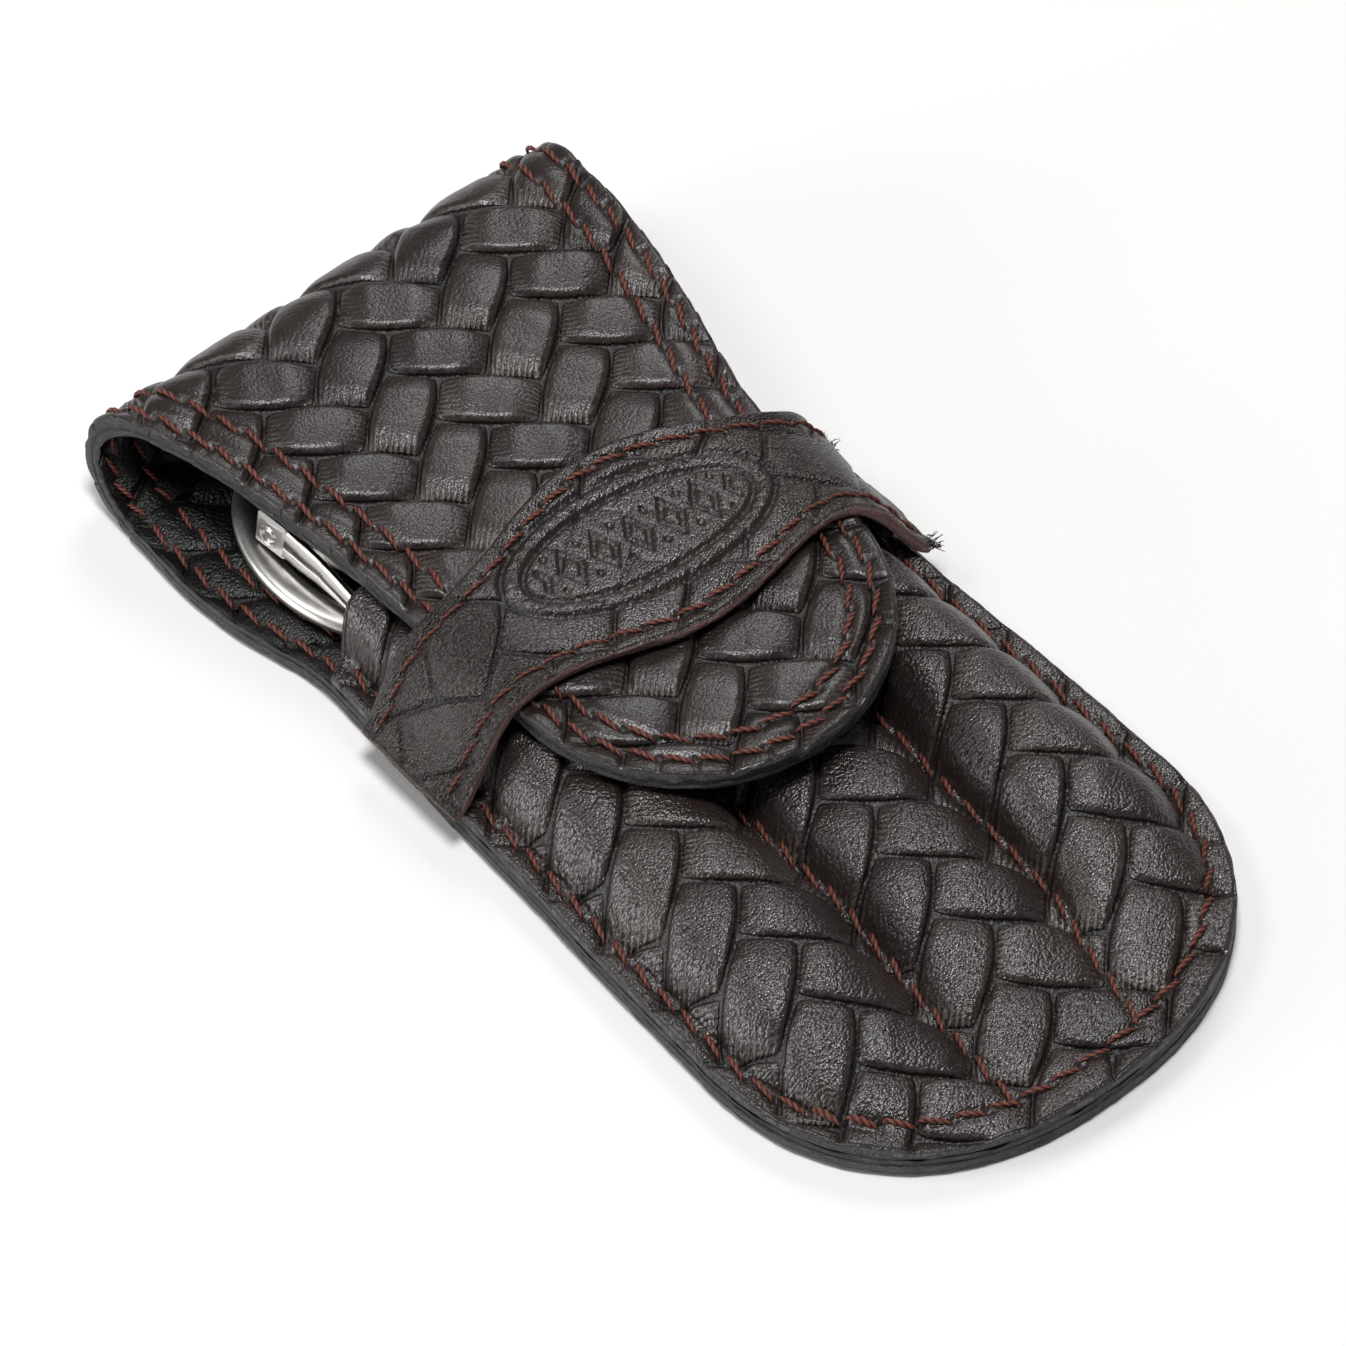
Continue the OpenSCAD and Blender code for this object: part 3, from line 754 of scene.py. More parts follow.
def leather(name, dark, light, worn_and_highlight, rough, grain=1.0, specular=0.5, folds=1.0, tough_and_highlight=0.0):
    """Embossed leather: pebbled grain and creases, sharp grooves with painted shade in them, pleats at the
    ends of each brick with a painted highlight on them, and wear on the brick edges.
    With the last argument, grain is added where the strap turns down over the sides, with a painted
    highlight on its tops."""
    n = Nodes(name)
    flat = n.attribute("flat")
    data = n.split(n.attribute("weave"))
    press = n.attribute("press", "Fac")
    off_end, across, random, e, pleated = n.bricks(data[0], data[1])
    crease = n.noise(n.scale(flat, (1.0, 1.6, 1.0)), 0.9, 4, 0.62, 0.5)
    patch = n.noise(flat, 0.13, 3, 0.6)
    jitter = n.noise(flat, 3.0, 2, 0.5)
    e = n.plus(e, n.madd(jitter, 0.24, -0.12))
    pebble = n.math("POWER", n.voronoi(n.scale(flat, (1.0, 1.2, 1.0)), 3.1), 2.0)
    pores = n.math("POWER", n.voronoi(flat, 5.2), 2.0)
    groove = n.times(n.fade(e, 0.03, 0.24), press)
    near_end = n.times(n.times(n.math("POWER", off_end, 3.6), press), pleated)
    wave = n.math("SINE", n.times(n.madd(crease, 0.16, across), 64.0))
    pleat = n.times(wave, near_end)
    amount = n.madd(patch, 1.1, 0.35)
    if tough_and_highlight:
        beside = n.math("ABSOLUTE", n.minus(n.split(flat)[0], STRAP_LEN / 2))
        turned = n.minus(1.0, n.fade(beside, 13.0, 21.0))
        amount = n.times(amount, n.madd(turned, tough_and_highlight, 1.0))
    height = n.times(n.times(pebble, amount), -0.20 * grain)
    height = n.madd(pores, -0.05 * grain, height)
    height = n.madd(crease, 0.10 * grain + 0.04 * folds, height)
    height = n.madd(pleat, 0.075, height)
    height = n.madd(groove, -0.30, height)
    tone = n.plus(n.times(patch, 0.6), n.times(random, 0.35))
    colour = n.ramp(tone, [(0.25, dark), (0.8, light)])
    # Lighter colour mixed in: wear on the brick edges in patches, and a painted highlight on the pleat
    # ridges at the brick ends, strongest on the ends that face the camera and the top lamp.
    rim = n.times(n.fade(n.math("ABSOLUTE", n.minus(e, 0.42)), 0.0, 0.2), press)
    pleat_highlight = n.times(n.math("MAXIMUM", wave, 0.0), n.times(near_end, random))
    wear_and_highlight = n.times(rim, n.fade(crease, 0.60, 0.42))
    wear_and_highlight = n.madd(pleat_highlight, 1.1, n.times(wear_and_highlight, 0.15), clamp=True)
    # Painted highlight on the pebble tops where the strap turns down over the sides.
    if tough_and_highlight:
        wear_and_highlight = n.madd(n.times(turned, n.fade(pebble, 0.03, 0.22)), 0.26, wear_and_highlight, clamp=True)
    colour = n.mix(wear_and_highlight, colour, worn_and_highlight)
    # Painted shade: the grooves between bricks are darkened almost to black; seams and stamp lines are
    # darker too.
    seam = n.math("MAXIMUM", n.times(groove, 0.9), data[2], clamp=True)
    groove_shade_and_seam_colour = n.ramp(patch, [(0.42, (0.0035, 0.003, 0.003)), (0.6, (0.016, 0.006, 0.0045))])
    colour = n.mix(n.times(seam, 0.92), colour, groove_shade_and_seam_colour)
    gloss = n.plus(rough, n.times(n.minus(crease, 0.5), 0.25))
    gloss = n.plus(gloss, n.times(seam, 0.25), clamp=True)
    return n.finish({"Base Color": colour, "Roughness": gloss, "Normal": n.bump(height, 0.001, 0.85),
                     "Specular IOR Level": specular})


def cut_edge(name, dark, light, rough=0.6, fibre=1.0, scale=1.0):
    """Painted or raw cut edge of leather: fibres and cracks along its length."""
    n = Nodes(name)
    flat = n.attribute("flat")
    streak = n.noise(n.scale(flat, (0.7, 0.7, 4.5)), 1.5 * scale, 5, 0.7, 0.4)
    speck = n.noise(flat, 3.4 * scale, 3, 0.7)
    crack = n.fade(n.math("ABSOLUTE", n.minus(streak, 0.5)), 0.0, 0.035)
    colour = n.ramp(n.plus(n.times(streak, 0.6), n.times(speck, 0.4)), [(0.38, dark), (0.62, light)])
    colour = n.mix(n.times(crack, 0.8), colour, (0.004, 0.0035, 0.0035))
    height = n.madd(speck, 0.22 * fibre, n.times(streak, 0.30 * fibre))
    height = n.madd(crack, -0.12 * fibre, height)
    return n.finish({"Base Color": colour, "Roughness": rough, "Normal": n.bump(height, 0.001, 0.9)})


def thread_material():
    """Twisted waxed thread, with painted shade between its plies."""
    n = Nodes("waxed_thread")
    fuzz = n.noise(n.place(), 5200.0, 3, 0.7)
    level = n.plus(n.times(n.attribute("ply", "Fac"), 0.26), n.times(fuzz, 0.75))
    colour = n.ramp(level, [(0.12, (0.018, 0.006, 0.004)), (0.42, (0.11, 0.031, 0.021)),
                            (0.8, (0.24, 0.080, 0.055))])
    return n.finish({"Base Color": colour, "Roughness": 0.6, "Normal": n.bump(fuzz, 0.00006, 0.6),
                     "Specular IOR Level": 0.25})


def steel(name, colour, rough, stretch, scale, depth):
    """Steel with fine brushed or polished marks, slightly uneven in gloss."""
    n = Nodes(name)
    lines = n.noise(n.scale(n.place(), stretch), scale, 3, 0.65)
    cloud = n.noise(n.place(), 140.0, 3, 0.5)
    tone = n.ramp(cloud, [(0.3, tuple(c * 0.86 for c in colour)), (0.7, colour)])
    gloss = n.plus(rough, n.times(n.minus(lines, 0.5), 0.16))
    gloss = n.plus(gloss, n.times(n.minus(cloud, 0.5), 0.10))
    return n.finish({"Base Color": tone, "Roughness": gloss, "Normal": n.bump(lines, 0.00002, depth),
                     "Metallic": 1.0})


WORN_AND_HIGHLIGHT = (0.21, 0.185, 0.175)
BROWN = (0.0135, 0.0088, 0.0080), (0.0275, 0.0182, 0.0165)
OUTER = leather("leather_outer", *BROWN, WORN_AND_HIGHLIGHT, 0.33, 0.22, 0.56, 0.6)
POCKET = leather("leather_pocket", *BROWN, WORN_AND_HIGHLIGHT, 0.29, 0.60, 0.72, 1.6)
# The lining is dark leather, made darker still as painted shade for the inside of the case and under the
# flap.
LINING_WITH_PAINTED_SHADE = leather("leather_lining", (0.0045, 0.004, 0.004), (0.009, 0.008, 0.0075), (0.03, 0.028, 0.027),
                0.36, 0.6, 0.4)
STRAP_M = leather("strap_leather", *BROWN, WORN_AND_HIGHLIGHT, 0.29, 0.62, 0.8, 0.5, tough_and_highlight=2.6)
PAINTED = cut_edge("painted_edge", (0.022, 0.022, 0.0225), (0.13, 0.128, 0.128), 0.5, 2.4)
# The raw edge is light brown suede, lightened further as painted light since the edge faces down into shade.
RAW_EDGE_WITH_PAINTED_LIGHT = cut_edge("raw_suede_edge_painted_light", (0.17, 0.085, 0.076), (0.56, 0.35, 0.32), 0.95, 2.2, 1.6)
THREAD = thread_material()
SATIN = steel("steel_satin", (0.62, 0.605, 0.585), 0.33, (1, 1, 1), 2600.0, 0.25)
POLISHED = steel("steel_polished", (0.60, 0.585, 0.56), 0.16, (1, 0.06, 1), 3000.0, 0.15)
GRIP = cut_edge("handle_plastic", (0.010, 0.010, 0.011), (0.022, 0.022, 0.024), 0.42, 0.4, 2.0)


# ---------------------------------------------------------------- relief of each sheet
def weave_values(u, v, seam, stamp=0.0):
    """What the leather's shader reads: the weave's own coordinates and how dark a seam or stamp is."""
    return columns(u, v, np.clip(seam * 1.5 - 0.30 + stamp * 2.0, 0, 1))


def sheet_relief(params, rows, amount, margin, lift=None):
    """Relief function of one face: weave pressed with some strength, fading towards edges, and its seams."""

    def relief(x, q):
        up = lift(q) if lift else 0.0
        u, v, depth = weave(x + 0.504 * up, q + 0.6 * up, *params)
        edge = margin(x, q)
        k = amount * (0.45 + 0.55 * ramp((edge - 0.2) / 2.2))
        seam = seam_relief(x, q, rows)
        squeeze = np.exp(-(seam / 0.16) ** 2) * 0.35 + 0.65
        d = depth * k * squeeze + seam * ramp(edge / 0.6)
        d = np.where(d > 0, d * ramp(edge / 0.5 + 0.25), d * ramp(edge / 1.5))
        return d, weave_values(u, v, seam), k

    return relief


def flap_margin(x, q):
    """Distance inside the flap's edge."""
    side = np.minimum(x - left_x(q), right_x(q) - x)
    tip = TONGUE_R - np.hypot(x - TONGUE_X, q - TONGUE_Y)
    return np.where(q < TONGUE_Y, tip, side)


def case_margin(x, y):
    """Distance inside the case's edge."""
    side = case_edge(y) - np.abs(x)
    down = BOTTOM_Y + y
    return np.where(y < -WIDE_Y, np.minimum(side, down), side)


flap_relief = sheet_relief(FLAP_WEAVE, FLAP_ROWS, 1.0, flap_margin, puff)
lining_relief = sheet_relief(LINER_WEAVE, FLAP_ROWS, 0.8, flap_margin)

# ---------------------------------------------------------------- flap, fold and back
ROOT, KNEE, TONGUE_LINE = 49.7, 38.7, 27.7  # where the flap's leather bends
BEND = 2.4  # half the length of a bending strip
TIP = TONGUE_LINE - BEND  # where the tongue begins
THIRD = ARC / 3  # of the fold
FOLD_INSET = 0.65  # by which a bending part of the fold starts and ends inside its arc
ZONES = [  # name, q from, q to, body or (body, body), nodes replaced
    ("panel_b", TONGUE_LINE + BEND, KNEE - BEND, "panel_b", ("panel_b_outer", "panel_b_lining")),
    ("panel_a", KNEE + BEND, ROOT - BEND, "panel_a", ("panel_a_outer", "panel_a_lining")),
    ("tongue_bend", TIP, TONGUE_LINE + BEND, ("panel_b", "tongue"), ("tongue_bend",)),
    ("knee_bend", KNEE - BEND, KNEE + BEND, ("panel_a", "panel_b"), ("knee_bend",)),
    ("root_bend", ROOT - BEND, FOLD_Y, ("flap_base", "panel_a"), ("root_bend",)),
    ("fold_upper", FOLD_Y, FOLD_Y + THIRD, ("fold_b", "flap_base"), ("fold_upper",)),
    ("fold_middle", FOLD_Y + THIRD, FOLD_Y + 2 * THIRD, ("fold_a", "fold_b"), ("fold_middle",)),
    ("fold_lower", FOLD_Y + 2 * THIRD, FOLD_Y + ARC, ("case", "fold_a"), ("fold_lower",)),
]
MATS = [OUTER, PAINTED, LINING_WITH_PAINTED_SHADE]


def zone_grid(q0, q1):
    """Grid over the flap's width from q0 to q1, with a row each 0.25 mm."""
    q = np.linspace(q0, q1, int(round((q1 - q0) / 0.25)) + 1)
    s = np.linspace(0, 1, COLS)
    x = (left_x(q) + EDGE)[:, None] * (1 - s) + (right_x(q) - EDGE)[:, None] * s
    return columns(x, np.repeat(q[:, None], COLS, 1))


def mid_fold(angle):
    """Middle of the fold's leather at an angle from its outermost place, in metres."""
    r = FOLD_R - SKIN / 2
    a = math.radians(angle)
    return np.array([0, FOLD_Y + r * math.cos(a), FOLD_R + r * math.sin(a)]) * MM


def join(obj, zone):
    """Rides a piece of the flap on its body; a piece between two bodies only has its place baked into its
    mesh.
    """
    name, q0, q1, body, _ = zone
    if isinstance(body, str):
        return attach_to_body(obj, body)
    if name.startswith("fold"):
        low, high = {"fold_upper": (30, 90), "fold_middle": (-30, 30), "fold_lower": (-90, -30)}[name]
        a, b = mid_fold(low), mid_fold(high)
        d = (b - a) / length(b - a)
        start, end = a + d * FOLD_INSET * MM, b - d * FOLD_INSET * MM
    else:
        z = (TOP - SKIN / 2) * MM
        start, end = np.array([0, q1 * MM, z]), np.array([0, q0 * MM, z])
    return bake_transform(obj, body[0], body[1], tuple(start), tuple(end))


for zone in ZONES:
    name, q0, q1, body, nodes = zone
    piece = slab("leather_" + name, zone_grid(q0, q1), place_flap, SKIN, MATS, flap_relief, lining_relief,
                 joint=OUTER_T, caps=("low", "high"), rough=0.22)
    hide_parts(*nodes)
    join(piece, zone)

# the tongue: straight sides above a round end
TONGUE_ROWS = 150
side_q = np.linspace(TIP, TONGUE_Y, 60)[:-1]
arc_r = TONGUE_R - EDGE


def tongue_arc(a):
    return columns(TONGUE_X + arc_r * np.cos(a), TONGUE_Y + arc_r * np.sin(a))


left_line = np.concatenate([columns(left_x(side_q) + EDGE, side_q), tongue_arc(turns(180, 225, 40))])
right_line = np.concatenate([columns(right_x(side_q) - EDGE, side_q), tongue_arc(turns(360, 315, 40))])
left_line, right_line = (walk(line[::-1], count=TONGUE_ROWS) for line in (left_line, right_line))
low_line = tongue_arc(turns(225, 315, COLS))
high_line = zone_grid(TIP, TIP + 1)[0]
tongue = slab("leather_tongue", coons(left_line, right_line, low_line, high_line), place_flap, SKIN, MATS,
              flap_relief, lining_relief, joint=OUTER_T, rough=0.22)
attach(tongue, "leather_outer", "tongue", "tongue_outer", "tongue_lining")

ZONES.append(("tongue", -30.0, TIP, "tongue", ()))
FLAP_THREADS = {"panel_a": "panel_a_thread", "panel_b": "panel_b_thread", "tongue": "tongue_thread",
                "fold_middle": "fold_thread"}
for k, zone in enumerate(ZONES):
    name, q0, q1 = zone[:3]

    def here(x, q):
        return q0 <= q < q1

    for face, base, sign in (("", 0.0, 1), ("_inside", -SKIN, -1)):
        t = threads("stitches_" + name + face, FLAP_ROWS, place_flap, 11 + k, base, sign, here)
        if t:
            join(t, zone)
            if name in FLAP_THREADS and not face:
                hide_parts(FLAP_THREADS[name])

# ---------------------------------------------------------------- back of the case
y_side = np.linspace(MOUTH_Y + 1.0, FOLD_Y - 1.0, 40)
BACK_ROWS = [rim_row(1.8, FOLD_Y - 1.0, FOLD_Y - 1.0, 1.3)]
BACK_ROWS += [walk(columns(sign * (side_x(y_side) - 5.0), y_side), step=PITCH) for sign in (-1, 1)]


def case_grid(y_left, y_right, inset, rows, cols=COLS, lip=0.0):
    """Grid over the case's outline up to y_left and y_right, higher by lip over the tweezers, evenly spaced
    along its top."""
    y = np.linspace(-WIDE_Y, y_left, 90)[1:]
    up_l = columns(-side_x(y) + inset, y)
    y = np.linspace(-WIDE_Y, y_right, 90)[1:]
    up_r = columns(side_x(y) - inset, y)
    left = np.concatenate([end_arc(inset, -140, -180, 60), up_l])
    right = np.concatenate([end_arc(inset, -40, 0, 60), up_r])
    low = walk(end_arc(inset, -140, -40, 200), count=cols)
    x = np.linspace(left[-1, 0], right[-1, 0], cols)
    top = y_left + (y_right - y_left) * ramp((x + 2) / 20) + lip * ramp((x - x[0]) / 5) * ramp((-8 - x) / 8)
    high = columns(x, top)
    return coons(walk(left, count=rows), walk(right, count=rows), low, high)


def back_relief(x, q):
    y = flip_q(q)
    u, v, depth = weave(x, q, *FLAP_WEAVE)
    edge = case_margin(x, y)
    k = 0.45 + 0.55 * ramp((edge - 0.2) / 2.2)
    seam = seam_relief(x, y, BACK_ROWS)
    d = depth * k + seam * ramp(edge / 0.6)
    d = np.where(d > 0, d * ramp(edge / 0.5 + 0.25), 0.0)
    return d, weave_values(u, v, seam), k


grid = case_grid(FOLD_Y, FOLD_Y, EDGE, 400)
grid[..., 1] = flip_q(grid[..., 1])
back = slab("leather_back", grid[::-1], place_flap, OUTER_T, MATS, back_relief, caps=("low",),
            square="inner")
attach(back, "leather_outer", "case", "back_panel")

inner_relief = sheet_relief(LINER_WEAVE, BACK_ROWS, 0.8, case_margin)
liner = slab("leather_back_lining", case_grid(FOLD_Y, FOLD_Y, 0.08 + EDGE, 240, 131), place_lining, 1.0,
             [LINING_WITH_PAINTED_SHADE, PAINTED, LINING_WITH_PAINTED_SHADE], inner_relief, square="inner outer")
attach(liner, "leather_lining", "case", "back_lining")

# ---------------------------------------------------------------- pocket front
pocket_relief = sheet_relief(POCKET_WEAVE, RIM_ROWS + CHANNEL_ROWS, 1.0, case_margin)


def pocket_thick(x, y):
    rise = np.maximum(pocket_height(x, y), 0)
    return OUTER_T + rise - rise * 1.06


pocket_grid = case_grid(MOUTH_Y - EDGE, MOUTH_RIGHT - EDGE, 0.05 + EDGE, 340, lip=2.8)
pocket = slab("leather_pocket_front", pocket_grid, place_pocket, pocket_thick,
              [POCKET, PAINTED, LINING_WITH_PAINTED_SHADE], pocket_relief, ring=True, square="inner")
attach(pocket, "leather_outer", "case", "pocket_front")

attach(threads("stitches_rim", RIM_ROWS, place_pocket, 41), "thread", "case", "rim_thread")
channels = threads("stitches_channels", CHANNEL_ROWS, place_pocket, 42)
attach(channels, "thread", "case", "channel_thread")
attach(threads("stitches_back", BACK_ROWS, place_back, 43, base=-0.35), "thread", "case")
inside = threads("stitches_back_lining", BACK_ROWS, place_lining, 44,
                 pick=lambda x, y: y > (MOUTH_Y if x < 0 else MOUTH_RIGHT) + 1)
attach(inside, "thread", "case")


# ---------------------------------------------------------------- strap
def strap_metric(s, t):
    """True lengths on the strap, from its flat coordinates."""
    return s * 0.95, (t / STRAP_W - 0.5) * strap_width(s)


def strap_relief(s, t):
    x, y = np.moveaxis(strap_point(s, t)[..., :2], -1, 0)
    u, v, depth = weave(s * 0.95 - 33.2, y, *STRAP_WEAVE)
    edge = np.minimum(t, STRAP_W - t) / STRAP_W * strap_width(s)
    edge = np.minimum(edge, np.minimum(s, STRAP_LEN - s) + 0.3)
    stamp, flat = emblem(x, y)
    stamp, flat = (np.where(np.abs(x) < 21, k, 0) for k in (stamp, flat))
    rows = [columns(*strap_metric(*row.T)) for row in STRAP_ROWS]
    seam = seam_relief(*strap_metric(s, t), rows)
    k = (0.22 + 0.45 * ramp((edge - 0.5) / 2.5)) * (1 - 0.8 * flat)
    d = depth * k + stamp + 0.16 * flat
    d = d + 0.10 * (noise(x, y, 5.0, 31) + 0.6 * noise(x, y, 2.1, 32)) * (1 - 0.5 * flat)
    d = (np.maximum(d, 0) + seam) * ramp(edge / 0.5 + 0.25)
    return d, weave_values(u, v, seam, stamp), k * 1.3


s_line, t_line = np.linspace(0.5, STRAP_LEN - 0.5, 361), np.linspace(EDGE, STRAP_W - EDGE, 121)
strap = slab("leather_strap", columns(s_line[None], t_line[:, None]), place_strap, STRAP_T,
             [STRAP_M, RAW_EDGE_WITH_PAINTED_LIGHT, RAW_EDGE_WITH_PAINTED_LIGHT], strap_relief, ring=True, rough=0.22)
attach(strap, "strap_leather", "case", "strap", "strap_emblem")
attach(threads("stitches_strap", STRAP_ROWS, place_strap, 45), "thread", "case", "strap_thread")


def fray(where, outwards, seed):
    """Loose leather fibres at a corner of the strap."""
    rng = np.random.default_rng(seed)
    verts, faces = [], []
    fibres, n, m = 26, 7, 5
    t = np.linspace(0, 1, n)[:, None]
    a = np.linspace(0, 2 * np.pi, m, endpoint=False)
    for k in range(fibres):
        root = np.array(where) + rng.uniform(-1, 1, 3) * (0.35, 0.8, 0.35)
        out = np.array(outwards) + rng.uniform(-0.7, 0.7, 3)
        bend = rng.uniform(-0.8, 0.8, 3)
        path = root + out * t * rng.uniform(0.3, 0.95) + 0.7 * bend * t ** 2
        r = 0.09 * (1 - 0.7 * t)
        ring = path[:, None] + columns(r * np.cos(a), r * np.sin(a), 0.6 * r * np.sin(a + 1))
        verts.append(ring.reshape(-1, 3))
        faces += tube_faces(n, m, k * n * m)
    return finish_mesh(f"strap_fibres_{seed}", np.concatenate(verts), faces, [OUTER])


FRAYED = [  # place and direction of each tuft
    ((28.3, 13.9, 5.0), (0.8, 0.5, 0.1)),
    ((28.0, -1.6, 5.0), (0.8, -0.6, 0.1)),
]
for seed, (where, outwards) in enumerate(FRAYED):
    attach(fray(where, outwards, 60 + seed), "strap_leather", "case")

# ---------------------------------------------------------------- tools
def loft(obj_name, rings, material, closed=False, sharp=40):
    """Skin over rings of points, open ended ones capped."""
    rings = np.asarray(rings, float)
    faces = tube_faces(*rings.shape[:2], closed=closed)
    return finish_mesh(obj_name, rings.reshape(-1, 3), faces, [material], sharp=sharp)


def rounded(w, h, n=28, power=3.2):
    """Cross-section between an ellipse and a rectangle."""
    return oval(np.linspace(0, 2 * np.pi, n, endpoint=False), w / 2, h / 2, power)


RING_A, RING_B, RING_T, RING_BAND = 11.4, 14.7, 2.1, 3.3  # outer half axes, thickness and width
SCISSOR_X, RING_X, RING_Y = 1.6, 14.2, 35.8
RING_GAP = 0.26  # by which the rings lie above the lining, on its stitches


def finger_ring(obj_name, sign):
    """An oval band with a rounded section, resting on the lining's stitches."""
    a = np.radians(np.arange(0, 360, 3))
    line = columns((RING_A - RING_BAND / 2) * np.cos(a), (RING_B - RING_BAND / 2) * np.sin(a))
    tang = np.roll(line, -1, 0) - np.roll(line, 1, 0)
    tang /= length(tang)[:, None]
    normal = columns(tang[:, 1], -tang[:, 0])
    sec = rounded(RING_BAND, RING_T, 28, 2.2)
    cx, cy, cz = SCISSOR_X + sign * RING_X, RING_Y, SKIN + RING_GAP + RING_T / 2
    rings = [columns(cx + p[0] + n[0] * sec[:, 0], cy + p[1] + n[1] * sec[:, 0], cz + sec[:, 1])
             for p, n in zip(line, normal)]
    return loft(obj_name, rings, SATIN, closed=True)


for name, sign, body in (("left", -1, "scissors_left"), ("right", 1, "scissors_right")):
    attach(finger_ring("steel_ring_" + name, sign), "steel_satin", body, "scissor_ring_" + name)

LEAN = math.radians(8)  # of the tweezers, in their channel
TW_X, TW_Z = -19.0, 7.45
BLOCK_Y, BLOCK_W, BLOCK_L, BLOCK_H, BLOCK_LOW = 39.05, 2.4, 4.1, 4.1, -0.25
LEAF_T = 0.75


def lean(p):
    """From the tweezers' own frame to the case's: they lean, their welded end a little outwards."""
    p = np.asarray(p, float)
    c, s = math.cos(LEAN), math.sin(LEAN)
    out = -1.3 * ramp((p[..., 1] - 30) / 11)
    x = TW_X + out + c * p[..., 0] + s * p[..., 2]
    return columns(x, p[..., 1], TW_Z - s * p[..., 0] + c * p[..., 2])


def tweezer_leaf(obj_name, sign):
    """A bowed strip, tall at the welded end and low at the tip, a little rounded on its outer face."""
    y = np.linspace(-36.5, BLOCK_Y - BLOCK_L / 2 + 0.2, 120)
    inner = np.interp(y, [-36.5, -26, -12, 8, 24, 31, 34.5, 37.2],
                      [0.9, 1.2, 1.3, 1.25, 1.25, 1.2, 0.75, 0.3])
    at = [-36.5, -24, 0, 22, 26, 31, 34.5, 37.2]
    low = np.interp(y, at, [-0.75, -1.25, -1.45, -1.3, -1.2, -1.6, -2.1, -2.3])
    high = np.interp(y, at, [-0.35, -0.2, 0.0, 0.35, 0.8, 1.4, 1.55, 1.55])
    rings = []
    for yy, a, b, c in zip(y, inner, low, high):
        sec = rounded(LEAF_T, c - b, 24, 5)
        bulge = 0.22 * (1 - (2 * sec[:, 1] / (c - b)) ** 2)
        x = sign * (a + LEAF_T / 2 + sec[:, 0] + bulge)
        rings.append(columns(x, yy, (b + c) / 2 + sec[:, 1]))
    return loft(obj_name, lean(rings), POLISHED)


for name, sign, body in (("near", -1, "tweezer_near"), ("far", 1, "tweezer_far")):
    attach(tweezer_leaf("steel_tweezer_" + name, sign), "steel_polished", body, "tweezer_leaf_" + name)


def tweezer_block():
    """The welded end: a bevelled block with a round spot of the weld on both sides."""
    bm = bmesh.new()
    bmesh.ops.create_cube(bm, size=1.0)
    for v in bm.verts:
        v.co = Vector((v.co.x * BLOCK_W, BLOCK_Y + v.co.y * BLOCK_L, BLOCK_LOW + v.co.z * BLOCK_H))
    bmesh.ops.bevel(bm, geom=bm.edges[:], offset=0.35, segments=3, profile=0.6, affect="EDGES")
    for side in (-1, 1):
        face = max(bm.faces, key=lambda f: side * f.calc_center_median().x)
        bmesh.ops.inset_region(bm, faces=[face], thickness=0.3)
        bmesh.ops.subdivide_edges(bm, edges=face.edges[:], cuts=24, use_grid_fill=True)
    bm.verts.index_update()
    co = np.array([v.co for v in bm.verts])
    faces = [[v.index for v in f.verts] for f in bm.faces]
    bm.free()
    r = np.hypot(co[:, 1] - BLOCK_Y - 0.2, co[:, 2] - BLOCK_LOW + 0.2)
    flat = np.abs(co[:, 0]) > BLOCK_W / 2 - 0.01
    dent = 0.30 * ramp((1.15 - r) / 0.25) - 0.26 * ramp((0.85 - r) / 0.35)
    co[:, 0] -= np.sign(co[:, 0]) * dent * flat
    return finish_mesh("steel_tweezer_block", lean(co), faces, [SATIN], sharp=35)


attach(tweezer_block(), "steel_satin", "tweezers", "tweezer_block")

# Parts inside the case that stay the CAD's own
CAD_FINISH = {"scissor_blade_left": SATIN, "scissor_blade_right": SATIN, "scissor_screw": POLISHED,
              "file_blade": SATIN, "file_handle": GRIP}
for name, material in CAD_FINISH.items():
    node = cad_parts[name]
    node.data.materials.clear()
    node.data.materials.append(material)


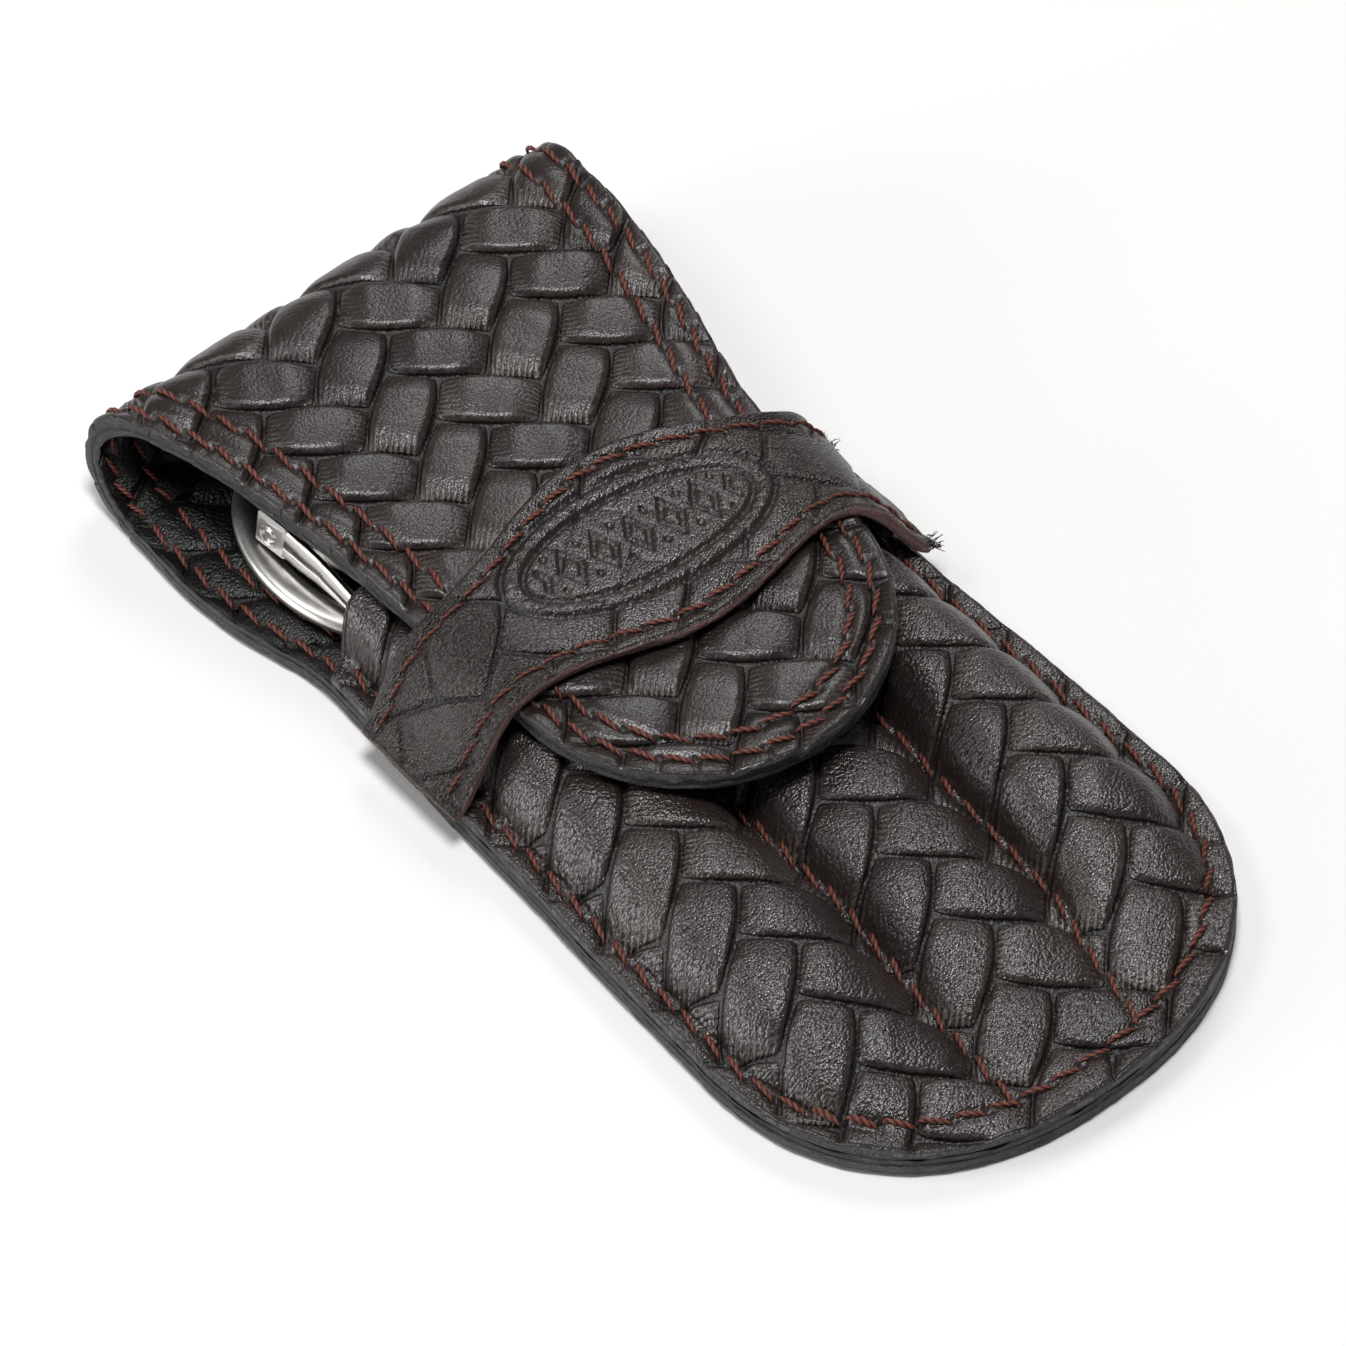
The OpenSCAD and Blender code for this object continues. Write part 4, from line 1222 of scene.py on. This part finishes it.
# ---------------------------------------------------------------- stage
LAMPS = [  # name, azimuth and elevation in degrees, distance and size in metres, power
    ("top", -40, 82, 0.85, 0.24, 5.5),
    ("right", 128, 48, 0.80, 0.36, 1.7),
    ("left", -115, 9, 0.75, 0.42, 3.6),
    ("high_left", -130, 53, 0.80, 0.26, 1.0),
]
FILL_LIGHT = 0.14
VIEW_AZ, VIEW_EL, VIEW_ROLL = -40.11, 51.92, -0.15  # the photo's, in degrees
VIEW_DISTANCE, VIEW_CENTRE = 0.784, (0.00113, 0.00533, 0)  # in metres
LENS, SENSOR = 217.2, 36.0


def direction(azimuth, elevation):
    """Unit vector towards a place round the case, azimuth 0 being its front."""
    az, el = math.radians(azimuth), math.radians(elevation)
    return Vector((math.sin(az) * math.cos(el), -math.cos(az) * math.cos(el), math.sin(el)))


def floor():
    me = bpy.data.meshes.new("floor")
    me.from_pydata([(-3, -3, 0), (3, -3, 0), (3, 3, 0), (-3, 3, 0)], [], [(0, 1, 2, 3)])
    n = Nodes("studio_floor")
    colour = n.ramp(n.noise(n.place(), 3.0), [(0.3, (0.80, 0.797, 0.788)), (0.7, (0.82, 0.817, 0.808))])
    me.materials.append(n.finish({"Base Color": colour, "Roughness": 0.9, "Specular IOR Level": 0.1}))
    obj = add_object("floor", me)
    obj.location.z = -0.0002


def lamp(name, azimuth, elevation, distance, size, power):
    """A round soft lamp aimed at the case."""
    data = bpy.data.lights.new(name, "AREA")
    data.shape, data.size, data.energy = "DISK", size, power
    obj = add_object(name, data)
    obj.location = direction(azimuth, elevation) * distance
    obj.rotation_euler = (-obj.location).to_track_quat("-Z", "Y").to_euler()


def camera():
    towards = direction(VIEW_AZ, VIEW_EL)
    obj = add_object("camera", bpy.data.cameras.new("camera"))
    obj.data.lens, obj.data.sensor_width = LENS, SENSOR
    obj.location = Vector(VIEW_CENTRE) + towards * VIEW_DISTANCE
    obj.rotation_mode = "QUATERNION"
    roll = Matrix.Rotation(math.radians(VIEW_ROLL), 3, "Z").to_quaternion()
    obj.rotation_quaternion = (-towards).to_track_quat("-Z", "Y") @ roll
    bpy.context.scene.camera = obj


floor()
for values in LAMPS:
    lamp(*values)
world = bpy.data.worlds.new("studio")
world.use_nodes = True
sky = world.node_tree.nodes["Background"].inputs
sky["Color"].default_value = (1, 1, 1, 1)
sky["Strength"].default_value = FILL_LIGHT
bpy.context.scene.world = world
bpy.context.scene.view_settings.view_transform = "Standard"
camera()

bpy.context.view_layer.update()
